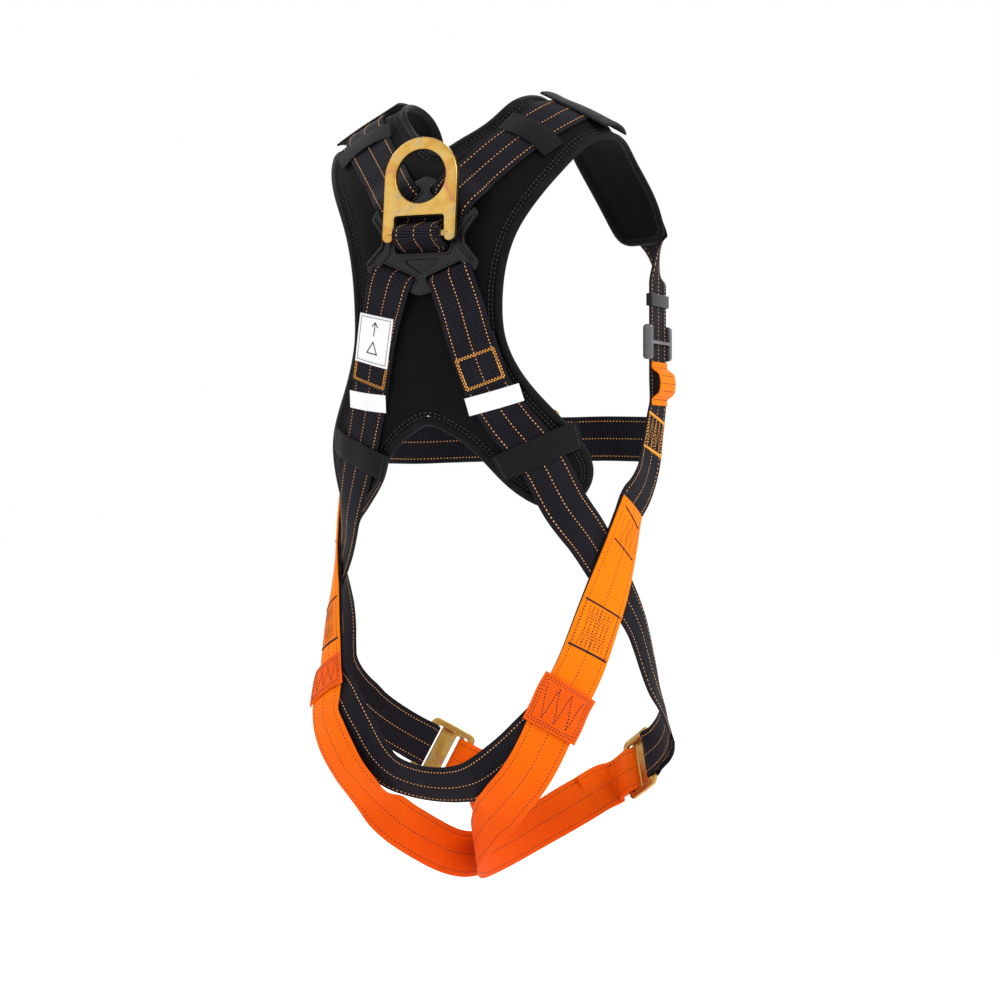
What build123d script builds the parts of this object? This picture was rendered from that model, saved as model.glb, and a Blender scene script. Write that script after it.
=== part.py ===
from build123d import *
import math
import os
import numpy as np

# Full-body fall-arrest harness, laid out as it sits on a wearer.
# Millimetres, +Z up. The wearer faces -Y, so the back is at +Y and the
# wearer's right is at -X. The origin is on the wearer's back, behind the
# centre of the dorsal plate.

# Webbing and pad
WEB_W = 45.0
WEB_T = 1.8
PAD_T = 8.0
SHOULDER_PAD_W = 84.0
SHOULDER_PAD_TIP_W = 66.0
GAP = 1.5
STATION_STEP = 18.0
EDGE_DROP = 9.0
EDGE_RISE = 4.0

# Heights of the webbing layers above the wearer, by what lies under them
ON_BODY = 1.0
ON_WEB = 4.2
ON_TWO_WEBS = 7.6
ON_THREE_WEBS = 11.0
ON_PAD = PAD_T + GAP

# Dorsal plate and D-ring
PLATE_TILT = 7.0
PLATE_ROLL = 3.0
PLATE_SHIFT = -6.0
PLATE_T = 3.5
PLATE_BACK = 6.0
SLOT_L = 48.0
SLOT_W = 8.0
SLOT_PROUD = 2.4
WINDOW_W = 56.0
WINDOW_H = 40.0
WINDOW_UP = 1.0
PLATE_CORNER_R = 3.5
PLATE_CHAMFER = 0.7
RIDGE_OUT = 34.5
RIDGE_L = 44.0
RIDGE_W = 4.0
RIDGE_T = 1.1
POCKET = ((-17, -23), (17, -23), (0, -34))
POCKET_DEPTH = 1.2
RING_T = 6.0
RING_HOLE_R = 25.5
RING_OUTER_R = 37.0
RING_HOLE_UP = 54.0
RING_SLOT_TOP = 17.0
RING_LEG_END = -7.5
RING_BAR_R = 3.5
RING_LEAN = 1.0
RING_BAR_OUT = 18.5
RING_BAR_Z = 3.0

# Straight run of webbing on each side of the chest
RUN_OUT = 153.0
RUN_Y = -190.0
RUN_FACE = 3.0
BUTT = 0.3
RUN_TOP = -35.0
RUN_BOTTOM = -150.0
ADJUSTER_Z = -88.0
ADJUSTER_H = 34.0
ADJUSTER_RAIL_X = WEB_W / 2 + 3.7
ADJUSTER_RAIL_W = 5.0
ADJUSTER_RAIL_D = 9.6
ADJUSTER_BAR_R = 1.8
ADJUSTER_BARS = ((-13.5, -2.4), (0, 4.2), (13.5, -2.4))
KEEPER_Z = -47.0
KEEPER_H = 12.0
KEEPER_GAP = 0.7
KEEPER_T = 1.5
LOOP_TOP = -107.0
LOOP_BOTTOM = -149.0
LOOP_SEWN = 7.0
LOOP_RISE = 6.0
LOOP_BOW = 8.0

# Mating buckles
BUCKLE_T = 3.5
FRAME_W = 62.0
FRAME_L = 50.0
FRAME_RAIL = 6.5
TONGUE_W = 56.0
TONGUE_L = 29.0
BAR_R = 3.0
BAR_PLAY = 0.4
SLEEVE_R = BAR_R + BAR_PLAY + WEB_T
SLEEVE_SINK = 0.3

# Patches, bands, flaps and tags sewn on the webbing
PATCH_W = 58.0
PATCH_T = 1.4
BAND_W = 24.0
LOBE_BAND_W = 26.0
BAND_T = 1.2
FLAP_W = 50.0
FLAP_T = 1.6
TAG_W = 20.0
TAG_T = 0.5
LABEL_W = 40.0
LABEL_T = 0.5

RIGHT = -1
LEFT = 1
SIDES = (("right", RIGHT), ("left", LEFT))

# The wearer's torso: height, half width, half depth, centre y, squareness in front
TORSO = np.array((
    (-552, 24, 20, -129, 2.0),
    (-540, 90, 66, -129, 2.0),
    (-520, 150, 108, -129, 2.0),
    (-500, 172, 124, -128, 2.0),
    (-435, 174, 122, -127, 2.0),
    (-375, 164, 112, -128, 2.1),
    (-300, 151, 104, -128, 2.2),
    (-241, 149, 104, -125, 2.5),
    (-166, 160, 109, -118, 3.0),
    (-107, 169, 112, -111, 3.0),
    (-50, 180, 111, -107, 3.0),
    (15, 194, 104, -107, 2.8),
    (60, 184, 90, -107, 2.4),
    (92, 156, 74, -107, 2.0),
    (118, 112, 58, -107, 2.0),
    (138, 70, 58, -107, 2.0),
    (165, 56, 58, -107, 2.0),
), float)

# The wearer's thighs: height, distance out, centre y, half width, half depth
THIGH = np.array((
    (-760, 85, -129, 70, 76),
    (-660, 87, -129, 76, 86),
    (-580, 88, -129, 81, 96),
    (-520, 88, -128, 83, 104),
    (-440, 86, -127, 82, 110),
), float)
HIP_BLEND = 22.0


def read_table(table, height):
    """Smooth values of a table's columns at each height."""
    rows = table[:, 0]
    height = np.clip(height, rows[0], rows[-1])
    i = np.clip(np.searchsorted(rows, height) - 1, 0, len(rows) - 2)
    slope = np.gradient(table[:, 1:], rows, axis=0)
    span = (rows[i + 1] - rows[i])[:, None]
    t = (height - rows[i])[:, None] / span
    start = (2 * t**3 - 3 * t**2 + 1) * table[i, 1:] + (t**3 - 2 * t**2 + t) * span * slope[i]
    end = (3 * t**2 - 2 * t**3) * table[i + 1, 1:] + (t**3 - t**2) * span * slope[i + 1]
    return start + end


def oval_gap(x, y, half_w, half_d, power):
    """Distance outside an oval whose squareness is its power."""
    reach = np.hypot(x, y) + 1e-9
    wide = np.abs(x / reach) / half_w
    deep = np.abs(y / reach) / half_d
    return reach - (wide**power + deep**power) ** (-1 / power)


def wearer_gap(points, legs):
    """Distance of points outside the wearer, with the thighs named in legs."""
    x, y, z = points.T
    half_w, half_d, centre, square = read_table(TORSO, z).T
    power = np.where(y < centre, square, 2.0)
    gap = oval_gap(x, y - centre, half_w, half_d, power) + 1.5 * np.maximum(TORSO[0, 0] - z, 0)
    out, centre, half_w, half_d = read_table(THIGH, z).T
    for leg in legs:
        thigh = oval_gap(x - leg * out, y - centre, half_w, half_d, 2.0)
        thigh = thigh + np.maximum(z - THIGH[-1, 0], 0)
        mix = np.clip(0.5 + 0.5 * (thigh - gap) / HIP_BLEND, 0, 1)
        gap = thigh * (1 - mix) + gap * mix - HIP_BLEND * mix * (1 - mix)
    return gap


def wearer_slope(points, legs):
    steps = np.eye(3) * 0.5
    return np.stack([wearer_gap(points + s, legs) - wearer_gap(points - s, legs) for s in steps], 1)


def on_wearer(points, legs):
    """The nearest points on the wearer's surface, and the outward normals there."""
    points = np.array(points, float)
    for _ in range(12):
        slope = wearer_slope(points, legs)
        size = np.maximum((slope**2).sum(1), 1e-6)
        points = points - (wearer_gap(points, legs) / size)[:, None] * slope
    slope = wearer_slope(points, legs)
    return points, slope / np.linalg.norm(slope, axis=1)[:, None]


def through(rows, step=STATION_STEP):
    """Evenly spaced rows on a smooth curve through the given rows."""
    rows = np.array(rows, float)
    length = np.r_[0, np.cumsum(np.linalg.norm(np.diff(rows[:, :3], axis=0), axis=1))]
    table = np.column_stack([length, rows])
    count = max(2, round(length[-1] / step) + 1)
    return read_table(table, np.linspace(0, length[-1], count))


def unit(vectors):
    return vectors / np.linalg.norm(vectors, axis=1)[:, None]


def frames(centres, normals):
    """Along, across and outward directions at each station of a strap."""
    along = unit(np.gradient(centres, axis=0))
    across = unit(np.cross(normals, along))
    return along, across, np.cross(along, across)


def worn_path(route, side, legs=(RIGHT, LEFT), width=WEB_W):
    """Stations of a strap that follows the wearer: route rows are out, y, z, height."""
    rows = through([(side * out, y, z, height) for out, y, z, height in route])
    base, normals = on_wearer(rows[:, :3], legs)
    lift = rows[:, 3:]
    centres = base + lift * normals
    along, across, outward = frames(centres, normals)
    edges = []
    for half in (-width / 2, width / 2):
        foot, up = on_wearer(base + half * across, legs)
        rise = ((foot + lift * up - centres) * outward).sum(1)
        edges.append(np.clip(rise, -EDGE_DROP, EDGE_RISE))
    return list(zip(centres, along, across, edges[0], edges[1]))


def flat_path(route, side, step=STATION_STEP):
    """Stations of a flat strap: route rows are out, y, z, and degrees it faces forward."""
    rows = through([(side * out, y, z, face) for out, y, z, face in route], step)
    face = np.radians(rows[:, 3])
    normals = np.column_stack([side * np.cos(face), -np.sin(face), 0 * face])
    along, across, _ = frames(rows[:, :3], normals)
    zero = np.zeros(len(rows))
    return list(zip(rows[:, :3], along, across, zero, zero))


def facing_plane(centre, along, across):
    return Plane(origin=tuple(centre), x_dir=tuple(across), z_dir=tuple(along))


def save(piece, name):
    piece.part.label = name
    export_step(piece.part, f"parts/{name}.step")
    solids = piece.part.solids()
    print(f"{name:24s} solids {len(solids)}  volume {piece.part.volume / 1000:8.2f} cm3")


def band_section(plane, width, thickness, low, high):
    """A strap's section, curved to the wearer and standing on its inner face."""
    half = width / 2
    with BuildSketch(plane) as section:
        with BuildLine():
            Spline((-half, low), (0, 0), (half, high))
            Line((half, high), (half, high + thickness))
            Spline((half, high + thickness), (0, thickness), (-half, low + thickness))
            Line((-half, low + thickness), (-half, low))
        make_face()
    return section.sketch


def strap(name, path, width=WEB_W, thickness=WEB_T):
    widths = np.broadcast_to(width, len(path))
    sections = [
        band_section(facing_plane(centre, along, across), wide, thickness, low, high)
        for (centre, along, across, low, high), wide in zip(path, widths)
    ]
    with BuildPart() as band:
        loft(sections)
    save(band, name)


os.makedirs("parts", exist_ok=True)

# Back pad: half widths of the yoke by height, then the two lower lobes
YOKE = (
    (85, 130), (66, 117), (36, 100), (5, 84), (-28, 75), (-60, 72),
    (-92, 74), (-118, 84), (-142, 99), (-160, 113), (-171, 121),
)
LOBE = ((-171, 12, 121), (-180, 31, 127), (-198, 50, 139), (-216, 65, 145), (-234, 80, 139), (-247, 97, 124))


def pad_section(height, x_start, x_end):
    """The pad cut at one height, from its face on the wearer to its outer face."""
    across = np.linspace(x_start, x_end, 7)
    half_w, half_d, centre, _ = read_table(TORSO, np.full(7, float(height))).T
    inner = np.column_stack([across, centre + half_d * np.sqrt(1 - (across / half_w) ** 2)])
    level = np.column_stack([inner, np.full(7, float(height))])
    _, normals = on_wearer(level, (RIGHT, LEFT))
    flat = normals[:, :2]
    outer = inner + PAD_T * flat / (flat**2).sum(1)[:, None]
    with BuildSketch(Plane.XY.offset(height)) as section:
        with BuildLine():
            Spline(*[tuple(p) for p in inner])
            Line(tuple(inner[-1]), tuple(outer[-1]))
            Spline(*[tuple(p) for p in outer[::-1]])
            Line(tuple(outer[0]), tuple(inner[0]))
        make_face()
    return section.sketch


with BuildPart() as back_pad:
    loft([pad_section(height, -half, half) for height, half in YOKE])
save(back_pad, "back_pad")
for label, side in SIDES:
    with BuildPart() as pad_lobe:
        loft([pad_section(height, side * inner_x, side * outer_x) for height, inner_x, outer_x in LOBE])
    save(pad_lobe, f"pad_lobe_{label}")

SHOULDER_Y = -107
SHOULDER_PAD = (
    (60, -12, 66, 0), (80, -33, 92, 0), (97, -62, 114, 0), (106, -111, 127, 0),
    (106, -155, 112, 0), (112, -178, 84, 0), (124, -194, 50, 0), (136, -200, 14, 0),
)
for label, side in SIDES:
    path = worn_path(SHOULDER_PAD, side, width=SHOULDER_PAD_W)
    taper = (SHOULDER_PAD_W, SHOULDER_PAD_W, SHOULDER_PAD_TIP_W)
    widths = np.interp(np.linspace(0, 1, len(path)), (0, 0.6, 1), taper)
    sections = [
        band_section(facing_plane(centre, along, across), wide, PAD_T, low, high)
        for (centre, along, across, low, high), wide in zip(path, widths)
    ]
    with BuildPart() as shoulder_pad:
        loft(sections)
        with Locations((0, SHOULDER_Y + 150, YOKE[0][0] - 100)):
            Box(400, 300, 200, mode=Mode.SUBTRACT)
    save(shoulder_pad, f"shoulder_pad_{label}")

# Dorsal plate. Its plane leans and rolls with the back, and its own x runs to the
# wearer's right. Its slots and its window take the webbing.
tilt = math.radians(PLATE_TILT)
PLATE_NORMAL = (0, math.cos(tilt), math.sin(tilt))
PLATE = Plane(origin=(PLATE_SHIFT, PAD_T, 0), x_dir=(-1, 0, 0), z_dir=PLATE_NORMAL)
PLATE = PLATE.rotated((0, 0, PLATE_ROLL))
PLATE_EDGE = (
    (0, 60), (12, 55), (52, 27), (55, 20), (41, 8), (41, -8), (58, -22), (55, -30), (6, -52), (0, -53),
)
UPPER_SLOT = (25, 34, -37)
LOWER_SLOT = (28, -31, 22)
SLOTS = (UPPER_SLOT, LOWER_SLOT)

with BuildPart() as dorsal_plate:
    with BuildSketch(PLATE.offset(PLATE_BACK)) as outline:
        with BuildLine():
            edge = Polyline(*PLATE_EDGE)
            mirror(edge, about=Plane.YZ)
        make_face()
        fillet([v for v in outline.vertices() if abs(v.X) > 1], PLATE_CORNER_R)
        with Locations((0, WINDOW_UP)):
            RectangleRounded(WINDOW_W, WINDOW_H, 4, mode=Mode.SUBTRACT)
        for out, up, turn in SLOTS:
            for mirrored in (1, -1):
                with Locations((mirrored * out, up)):
                    SlotOverall(SLOT_L, SLOT_W, rotation=mirrored * turn, mode=Mode.SUBTRACT)
    extrude(amount=PLATE_T)
    chamfer(dorsal_plate.faces().sort_by(Axis(PLATE.origin, PLATE.z_dir))[-1].edges(), PLATE_CHAMFER)
    with BuildSketch(PLATE.offset(PLATE_BACK + PLATE_T)):
        for mirrored in (1, -1):
            with Locations((mirrored * RIDGE_OUT, 0)):
                SlotOverall(RIDGE_L, RIDGE_W, rotation=90)
    extrude(amount=RIDGE_T)
    with BuildSketch(PLATE.offset(PLATE_BACK + PLATE_T)):
        with BuildLine():
            Polyline(*POCKET, close=True)
        make_face()
    extrude(amount=-POCKET_DEPTH, mode=Mode.SUBTRACT)
save(dorsal_plate, "dorsal_plate")

# D-ring, which turns on its own bar. Its plane leans on the back.
ring_centre = PLATE.from_local_coords((0, RING_BAR_Z, RING_BAR_OUT))
RING = Plane(origin=ring_centre, x_dir=PLATE.x_dir, z_dir=PLATE.z_dir).rotated((-RING_LEAN, 0, 0))
leg_w = RING_OUTER_R - RING_HOLE_R

with BuildPart() as d_ring:
    with BuildSketch(RING) as ring_shape:
        with Locations((0, RING_HOLE_UP)):
            Circle(RING_OUTER_R)
        with Locations((0, (RING_HOLE_UP + RING_LEG_END) / 2)):
            Rectangle(2 * RING_OUTER_R, RING_HOLE_UP - RING_LEG_END)
        with Locations((0, RING_SLOT_TOP - 25)):
            Rectangle(2 * RING_HOLE_R, 50, mode=Mode.SUBTRACT)
        tips = ring_shape.vertices().filter_by_position(Axis.Y, RING_LEG_END - 1, RING_LEG_END + 1)
        fillet(tips, leg_w / 2.05)
        corners = ring_shape.vertices().filter_by_position(Axis.Y, RING_SLOT_TOP - 1, RING_SLOT_TOP + 1)
        fillet(corners, 3)
        with Locations((0, RING_HOLE_UP)):
            Circle(RING_HOLE_R, mode=Mode.SUBTRACT)
    extrude(amount=RING_T / 2, both=True)
    chamfer(d_ring.edges().filter_by(GeomType.CIRCLE).filter_by(lambda e: e.radius > 20), 0.8)
    with BuildSketch(Plane(origin=RING.origin, x_dir=RING.y_dir, z_dir=RING.x_dir)):
        Circle(RING_BAR_R)
    extrude(amount=RING_HOLE_R + leg_w / 2, both=True)
save(d_ring, "d_ring")

# The two straps that cross behind the plate: each comes in through its upper slot,
# wraps over the D-ring's bar in the window, and leaves through the opposite lower slot.
LAYER_STEP = 2.5
TUCK = 1.0
WRAP_SPREAD = 7.5
WRAP_TOP = 15.5
WRAP_BOTTOM = -10.0
WRAP_LEAN = 1.2


def slot_end(slot, side):
    """The two ends of a strap's width in a slot, in the plate's own plane."""
    out, up, turn = slot
    reach = WEB_W / 2
    step_x = reach * math.cos(math.radians(turn))
    step_y = reach * math.sin(math.radians(turn))
    return (-side * (out - step_x), up - step_y), (-side * (out + step_x), up + step_y)


def hidden_web(slot, side, window_edge, layer):
    """The flat part behind the plate, and the part that stands in the slot."""
    inner, outer = slot_end(slot, side)
    half = -side * WEB_W / 2
    plane = PLATE.offset(TUCK + layer * LAYER_STEP)
    with BuildSketch(plane) as flat:
        with BuildLine():
            Polyline(inner, outer, (half, window_edge), (-half, window_edge), close=True)
        make_face()
    extrude(flat.sketch, amount=WEB_T)
    out, up, turn = slot
    with BuildSketch(plane) as standing:
        with Locations((-side * out, up)):
            Rectangle(WEB_W, WEB_T, rotation=-side * turn)
    extrude(standing.sketch, amount=SLOT_PROUD + PLATE_BACK + PLATE_T - TUCK - layer * LAYER_STEP)


for layer, (label, side) in enumerate(SIDES):
    rise = layer * LAYER_STEP
    top = RING_BAR_OUT + RING_BAR_R + 0.5 + WEB_T / 2 + rise
    low = TUCK + WEB_T / 2 + rise
    spread = WRAP_SPREAD + rise
    wrap_top = WRAP_TOP + WRAP_LEAN * rise
    wrap_bottom = WRAP_BOTTOM - WRAP_LEAN * rise
    with BuildPart() as crossing:
        with BuildSketch(Plane(origin=PLATE.origin, x_dir=PLATE.y_dir, z_dir=PLATE.x_dir)):
            with BuildLine() as middle:
                FilletPolyline(
                    (28, low), (wrap_top, low), (RING_BAR_Z + spread, top),
                    (RING_BAR_Z - spread, top), (wrap_bottom, low), (-22, low), radius=3,
                )
                offset(amount=WEB_T / 2, side=Side.BOTH)
            make_face()
        extrude(amount=WEB_W / 2, both=True)
        hidden_web(UPPER_SLOT, side, wrap_top + 0.5, layer)
        hidden_web(LOWER_SLOT, -side, wrap_bottom - 0.5, layer)
    save(crossing, f"crossing_strap_{label}")


def plate_station(side, slot, beyond, height):
    """A strap's station on the plate's outer side, this far beyond a slot's centre line."""
    out, up, turn = slot
    away = 1 if up > 0 else -1
    turn = math.radians(turn)
    ahead = Vector(side * away * math.sin(turn), away * math.cos(turn), 0)
    spot = PLATE.from_local_coords(Vector(-side * out, up, height) + beyond * ahead)
    along = np.array(tuple(PLATE.from_local_coords(ahead) - PLATE.origin))
    across = np.cross(np.array(tuple(PLATE.z_dir)), along)
    return np.array(tuple(spot)), along, across, 0.0, 0.0


OVER_PLATE = PLATE_BACK + PLATE_T + 0.6

# Shoulder straps: out of the upper slot, over the pad and the shoulder, to the chest
SHOULDER = (
    (48, -8, 63, ON_PAD + 1), (62, -20, 78, ON_PAD), (80, -38, 96, ON_PAD), (98, -62, 113, ON_PAD),
    (106, -111, 128, ON_PAD),
    (107, -155, 112, ON_PAD), (115, -180, 82, ON_PAD), (130, -196, 45, ON_PAD),
    (139, -204, 22, ON_PAD + 2),
)
CHEST = ((146, -208, 4, 42), (152, -199, -16, 22), (RUN_OUT, RUN_Y, RUN_TOP, RUN_FACE))


def run_frame(side, height):
    """A plane on the inner face of the straight run, its x level and its z outward."""
    face = math.radians(RUN_FACE)
    outward = Vector(side * math.cos(face), -math.sin(face), 0)
    return Plane(origin=(side * RUN_OUT, RUN_Y, height), x_dir=Vector(0, 0, 1).cross(outward), z_dir=outward)


def run_station(side, height):
    """A strap's station square on the straight run."""
    frame = run_frame(side, height)
    along = np.array(tuple(-frame.y_dir))
    across = np.cross(np.array(tuple(frame.z_dir)), along)
    return np.array(tuple(frame.origin)), along, across, 0.0, 0.0


def end_on(frame):
    """The same place seen along the strap: x across it and y out of it."""
    return Plane(origin=frame.origin, x_dir=frame.x_dir, z_dir=-frame.y_dir)


def seen_from_side(frame):
    """The same place seen across the strap: x up it and y out of it."""
    return Plane(origin=frame.origin, x_dir=frame.y_dir, z_dir=frame.x_dir)


def facing_row(side, station):
    """A flat route's row at the end of a worn path."""
    centre, along, across, _, _ = station
    outward = np.cross(along, across)
    return side * centre[0], centre[1], centre[2], math.degrees(math.atan2(-outward[1], side * outward[0]))


for label, side in SIDES:
    start = [plate_station(side, UPPER_SLOT, beyond, OVER_PLATE) for beyond in (1.2, 9)]
    shoulder = start + worn_path(SHOULDER, side)
    strap(f"shoulder_strap_{label}", shoulder)
    chest_web = flat_path((facing_row(side, shoulder[-1]),) + CHEST, side, 16)
    strap(f"chest_web_{label}", [shoulder[-1]] + chest_web[1:-1] + [run_station(side, RUN_TOP + BUTT)])


for label, side in SIDES:
    frame = run_frame(side, (RUN_TOP + RUN_BOTTOM) / 2)
    with BuildPart() as straight_web:
        with BuildSketch(frame):
            Rectangle(WEB_W, RUN_TOP - RUN_BOTTOM)
        extrude(amount=WEB_T)
    save(straight_web, f"straight_web_{label}")

    # Three-bar adjuster: its outer bars lie behind the webbing, its middle bar in front
    frame = run_frame(side, ADJUSTER_Z)
    with BuildPart() as adjuster:
        for end in (-1, 1):
            with BuildSketch(seen_from_side(frame).offset(end * ADJUSTER_RAIL_X)):
                with Locations((0, WEB_T / 2)):
                    RectangleRounded(ADJUSTER_H, ADJUSTER_RAIL_D, 3)
            extrude(amount=ADJUSTER_RAIL_W / 2, both=True)
        for up, out in ADJUSTER_BARS:
            with BuildSketch(seen_from_side(frame)):
                with Locations((up, out)):
                    Circle(ADJUSTER_BAR_R)
            extrude(amount=ADJUSTER_RAIL_X, both=True)
    save(adjuster, f"adjuster_{label}")

    # Elastic keeper that slides on the straight run
    outer = 2 * (KEEPER_GAP + KEEPER_T)
    with BuildPart() as keeper:
        with BuildSketch(end_on(run_frame(side, KEEPER_Z))):
            with Locations((0, WEB_T / 2)):
                RectangleRounded(WEB_W + outer, WEB_T + outer, 1.4)
                Rectangle(WEB_W + 2 * KEEPER_GAP, WEB_T + 2 * KEEPER_GAP, mode=Mode.SUBTRACT)
        extrude(amount=KEEPER_H / 2, both=True)
    save(keeper, f"web_keeper_{label}")

    # Textile attachment loop, sewn down at both ends and bowed out between
    frame = run_frame(side, (LOOP_TOP + LOOP_BOTTOM) / 2)
    half = (LOOP_TOP - LOOP_BOTTOM) / 2
    sewn = half - LOOP_SEWN
    bow = sewn - LOOP_RISE
    foot = WEB_T + 1.2
    with BuildPart() as chest_loop:
        with BuildSketch(seen_from_side(frame)):
            with BuildLine():
                FilletPolyline(
                    (-half, foot), (-sewn, foot), (-bow, foot + LOOP_BOW),
                    (bow, foot + LOOP_BOW), (sewn, foot), (half, foot), radius=3,
                )
                offset(amount=WEB_T / 2, side=Side.BOTH)
            make_face()
        extrude(amount=WEB_W / 2 - 2, both=True)
    save(chest_loop, f"chest_loop_{label}")


# Lower back straps: out of the lower slot, and sewn down in a fold over the strap
# that goes on across the hip and round the front of the thigh
FOLD_HEIGHT = ON_PAD + 2.9
BACK_FOLD = {
    "right": ((45, 10, -68, FOLD_HEIGHT + 1), (53, 6, -100, FOLD_HEIGHT), (65, 1, -137, FOLD_HEIGHT)),
    "left": ((38, 10, -66, FOLD_HEIGHT + 1), (49, 6, -100, FOLD_HEIGHT), (60, 1, -134, FOLD_HEIGHT)),
}
WAIST = {
    "right": ((51, 6, -92, ON_PAD), (66, 1, -140, ON_PAD), (84, -12, -172, ON_PAD), (101, -27, -197, ON_PAD),
              (124, -50, -250, ON_PAD), (135, -74, -277, 2.5), (146, -90, -304, ON_BODY)),
    "left": ((48, 6, -90, ON_PAD), (60, 1, -134, ON_PAD), (71, -8, -165, ON_PAD), (84, -19, -197, ON_PAD),
             (109, -40, -252, ON_PAD), (121, -58, -278, 4), (136, -80, -306, ON_BODY)),
}
THIGH_TURN = ((164, -124, -360, ON_BODY), (173, -142, -415, ON_BODY), (170, -185, -452, ON_BODY),
              (150, -219, -479, 1.5), (126, -236, -496, 2.5))
# Chest strap, hip straps and leg loops
SASH = ((RUN_OUT, RUN_Y, RUN_BOTTOM, RUN_FACE), (152, -184, -174, 1), (151, -176, -203, -2),
        (153.5, -155, -226, 0))
HIP = {
    "right": ((153, -126, -247, ON_WEB), (153, -107, -284, ON_WEB), (144, -70, -355, ON_WEB),
              (134, -48, -402, ON_WEB), (124, -26, -436, ON_WEB)),
    "left": ((153, -126, -247, ON_WEB), (151, -103, -287, ON_WEB), (139, -70, -345, ON_WEB),
             (131, -50, -388, ON_WEB), (124, -37, -418, ON_WEB)),
}
SEAT = (
    (-124, -26, -436, ON_WEB), (-107, -17, -456, ON_WEB), (-80, -11, -482, ON_BODY), (-40, -11, -505, ON_BODY),
    (0, -8, -510, ON_BODY), (38, -8, -499, ON_BODY), (66, -8, -476, ON_BODY), (90, -12, -444, ON_WEB),
    (108, -24, -428, ON_WEB), (124, -37, -418, ON_WEB),
)
LOOP_DOWN = {
    "right": ((104, -17, -483, 10), (80, -16, -514, 11.5), (50, -20, -544, 12)),
    "left": ((110, -20, -458, 9), (87, -12, -491, 10), (50, -16, -540, 11)),
}
CROTCH = ((18, -46, -568, 8), (7, -98, -585, 2), (8, -150, -582, 1.5), (26, -196, -564, 1.5),
          (54, -226, -543, 2))
CHEST_FROM_SASH = ((147.5, -187, -181, 2), (145, -209, -181, 24), (133, -229, -181, 52), (108, -242, -180, 76),
                   (70, -247, -179, 86), (26, -248, -179, 90))


def buckle_plane(path):
    """The plane of a buckle's bar at a strap's end: x across, y back along the strap, z outward."""
    centre, along, across, _, _ = path[-1]
    outward = np.cross(along, across)
    middle = centre + (SLEEVE_R - SLEEVE_SINK) * outward
    return Plane(origin=tuple(middle), x_dir=tuple(across), z_dir=tuple(outward))


def looped_strap(name, path, bar, thickness=WEB_T):
    """A strap whose end is sewn round a buckle's bar."""
    sections = [
        band_section(facing_plane(centre, along, across), WEB_W, thickness, low, high)
        for centre, along, across, low, high in path
    ]
    with BuildPart() as band:
        loft(sections)
        with BuildSketch(bar) as sleeve:
            Circle(SLEEVE_R)
        extrude(sleeve.sketch, amount=WEB_W / 2, both=True)
        with BuildSketch(bar) as bore:
            Circle(BAR_R + BAR_PLAY)
        extrude(bore.sketch, amount=WEB_W / 2 + 1, both=True, mode=Mode.SUBTRACT)
    save(band, name)


def bar_axis(plane, back=0.0, out=0.0):
    """A plane across a buckle's bar: x back along the strap, y outward, z along the bar."""
    spot = plane.from_local_coords((0, back, out))
    return Plane(origin=spot, x_dir=plane.y_dir, z_dir=plane.x_dir)


TONGUE_BACK = -31.0
TONGUE_OUT = 4.4
TONGUE_HEEL = 1.3


def buckle_frame(name, plane):
    """The outer half of a mating buckle: a rectangular frame with a round bar."""
    middle = -FRAME_L / 2 + FRAME_RAIL
    with BuildPart() as frame:
        with BuildSketch(plane) as shape:
            with Locations((0, middle)):
                RectangleRounded(FRAME_W, FRAME_L, 6)
            with Locations((0, middle)):
                Rectangle(WEB_W + 4, FRAME_L - 2 * FRAME_RAIL, mode=Mode.SUBTRACT)
            with Locations((0, 3)):
                Rectangle(WEB_W + 4, 22, mode=Mode.SUBTRACT)
        extrude(amount=BUCKLE_T / 2, both=True)
        with BuildSketch(bar_axis(plane)):
            Circle(BAR_R)
        extrude(amount=WEB_W / 2 + 4, both=True)
    save(frame, name)


def buckle_tongue(name, plane):
    """The inner half, which passes through the frame and turns flat on top of it."""
    with BuildPart() as tongue:
        with BuildSketch(plane.offset(TONGUE_OUT)):
            with Locations((0, TONGUE_BACK + TONGUE_L / 2 - 5)):
                RectangleRounded(TONGUE_W, TONGUE_L, 5)
            with Locations((0, TONGUE_BACK)):
                Rectangle(WEB_W + 2, 13.2, mode=Mode.SUBTRACT)
            with Locations((0, TONGUE_BACK - TONGUE_HEEL - 5)):
                Rectangle(TONGUE_W, 10, mode=Mode.SUBTRACT)
        extrude(amount=BUCKLE_T / 2, both=True)
        with BuildSketch(bar_axis(plane, TONGUE_BACK, TONGUE_OUT)):
            Circle(BAR_R)
        extrude(amount=WEB_W / 2 + 1.5, both=True)
    save(tongue, name)


UNDER_FRAME = ((-62, -4.3), (-53, -4.3), (-44, -4.3), (-38, -4.0),
               (TONGUE_BACK, TONGUE_OUT - SLEEVE_R + SLEEVE_SINK))


def tongue_path(plane):
    """Stations of the strap that passes under the frame and up to the tongue's bar."""
    centres = np.array([tuple(plane.from_local_coords((0, back, out))) for back, out in UNDER_FRAME])
    along, across, _ = frames(centres, np.tile(tuple(plane.z_dir), (len(centres), 1)))
    flat = np.zeros(len(centres))
    return list(zip(centres, along, across, flat, flat))


def worn_row(side, station):
    """The worn route row of a station: out, y, z and height on the wearer."""
    spot = station[0][None]
    foot, normal = on_wearer(spot, (side,))
    return side * spot[0, 0], spot[0, 1], spot[0, 2], float(((spot - foot) * normal).sum())


def sub_route(rows, height):
    return [(out, y, z, height) for out, y, z, _ in rows]


def turned_back(station):
    """The same section of a strap that runs the other way."""
    centre, along, across, low, high = station
    return centre, -along, -across, high, low


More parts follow.
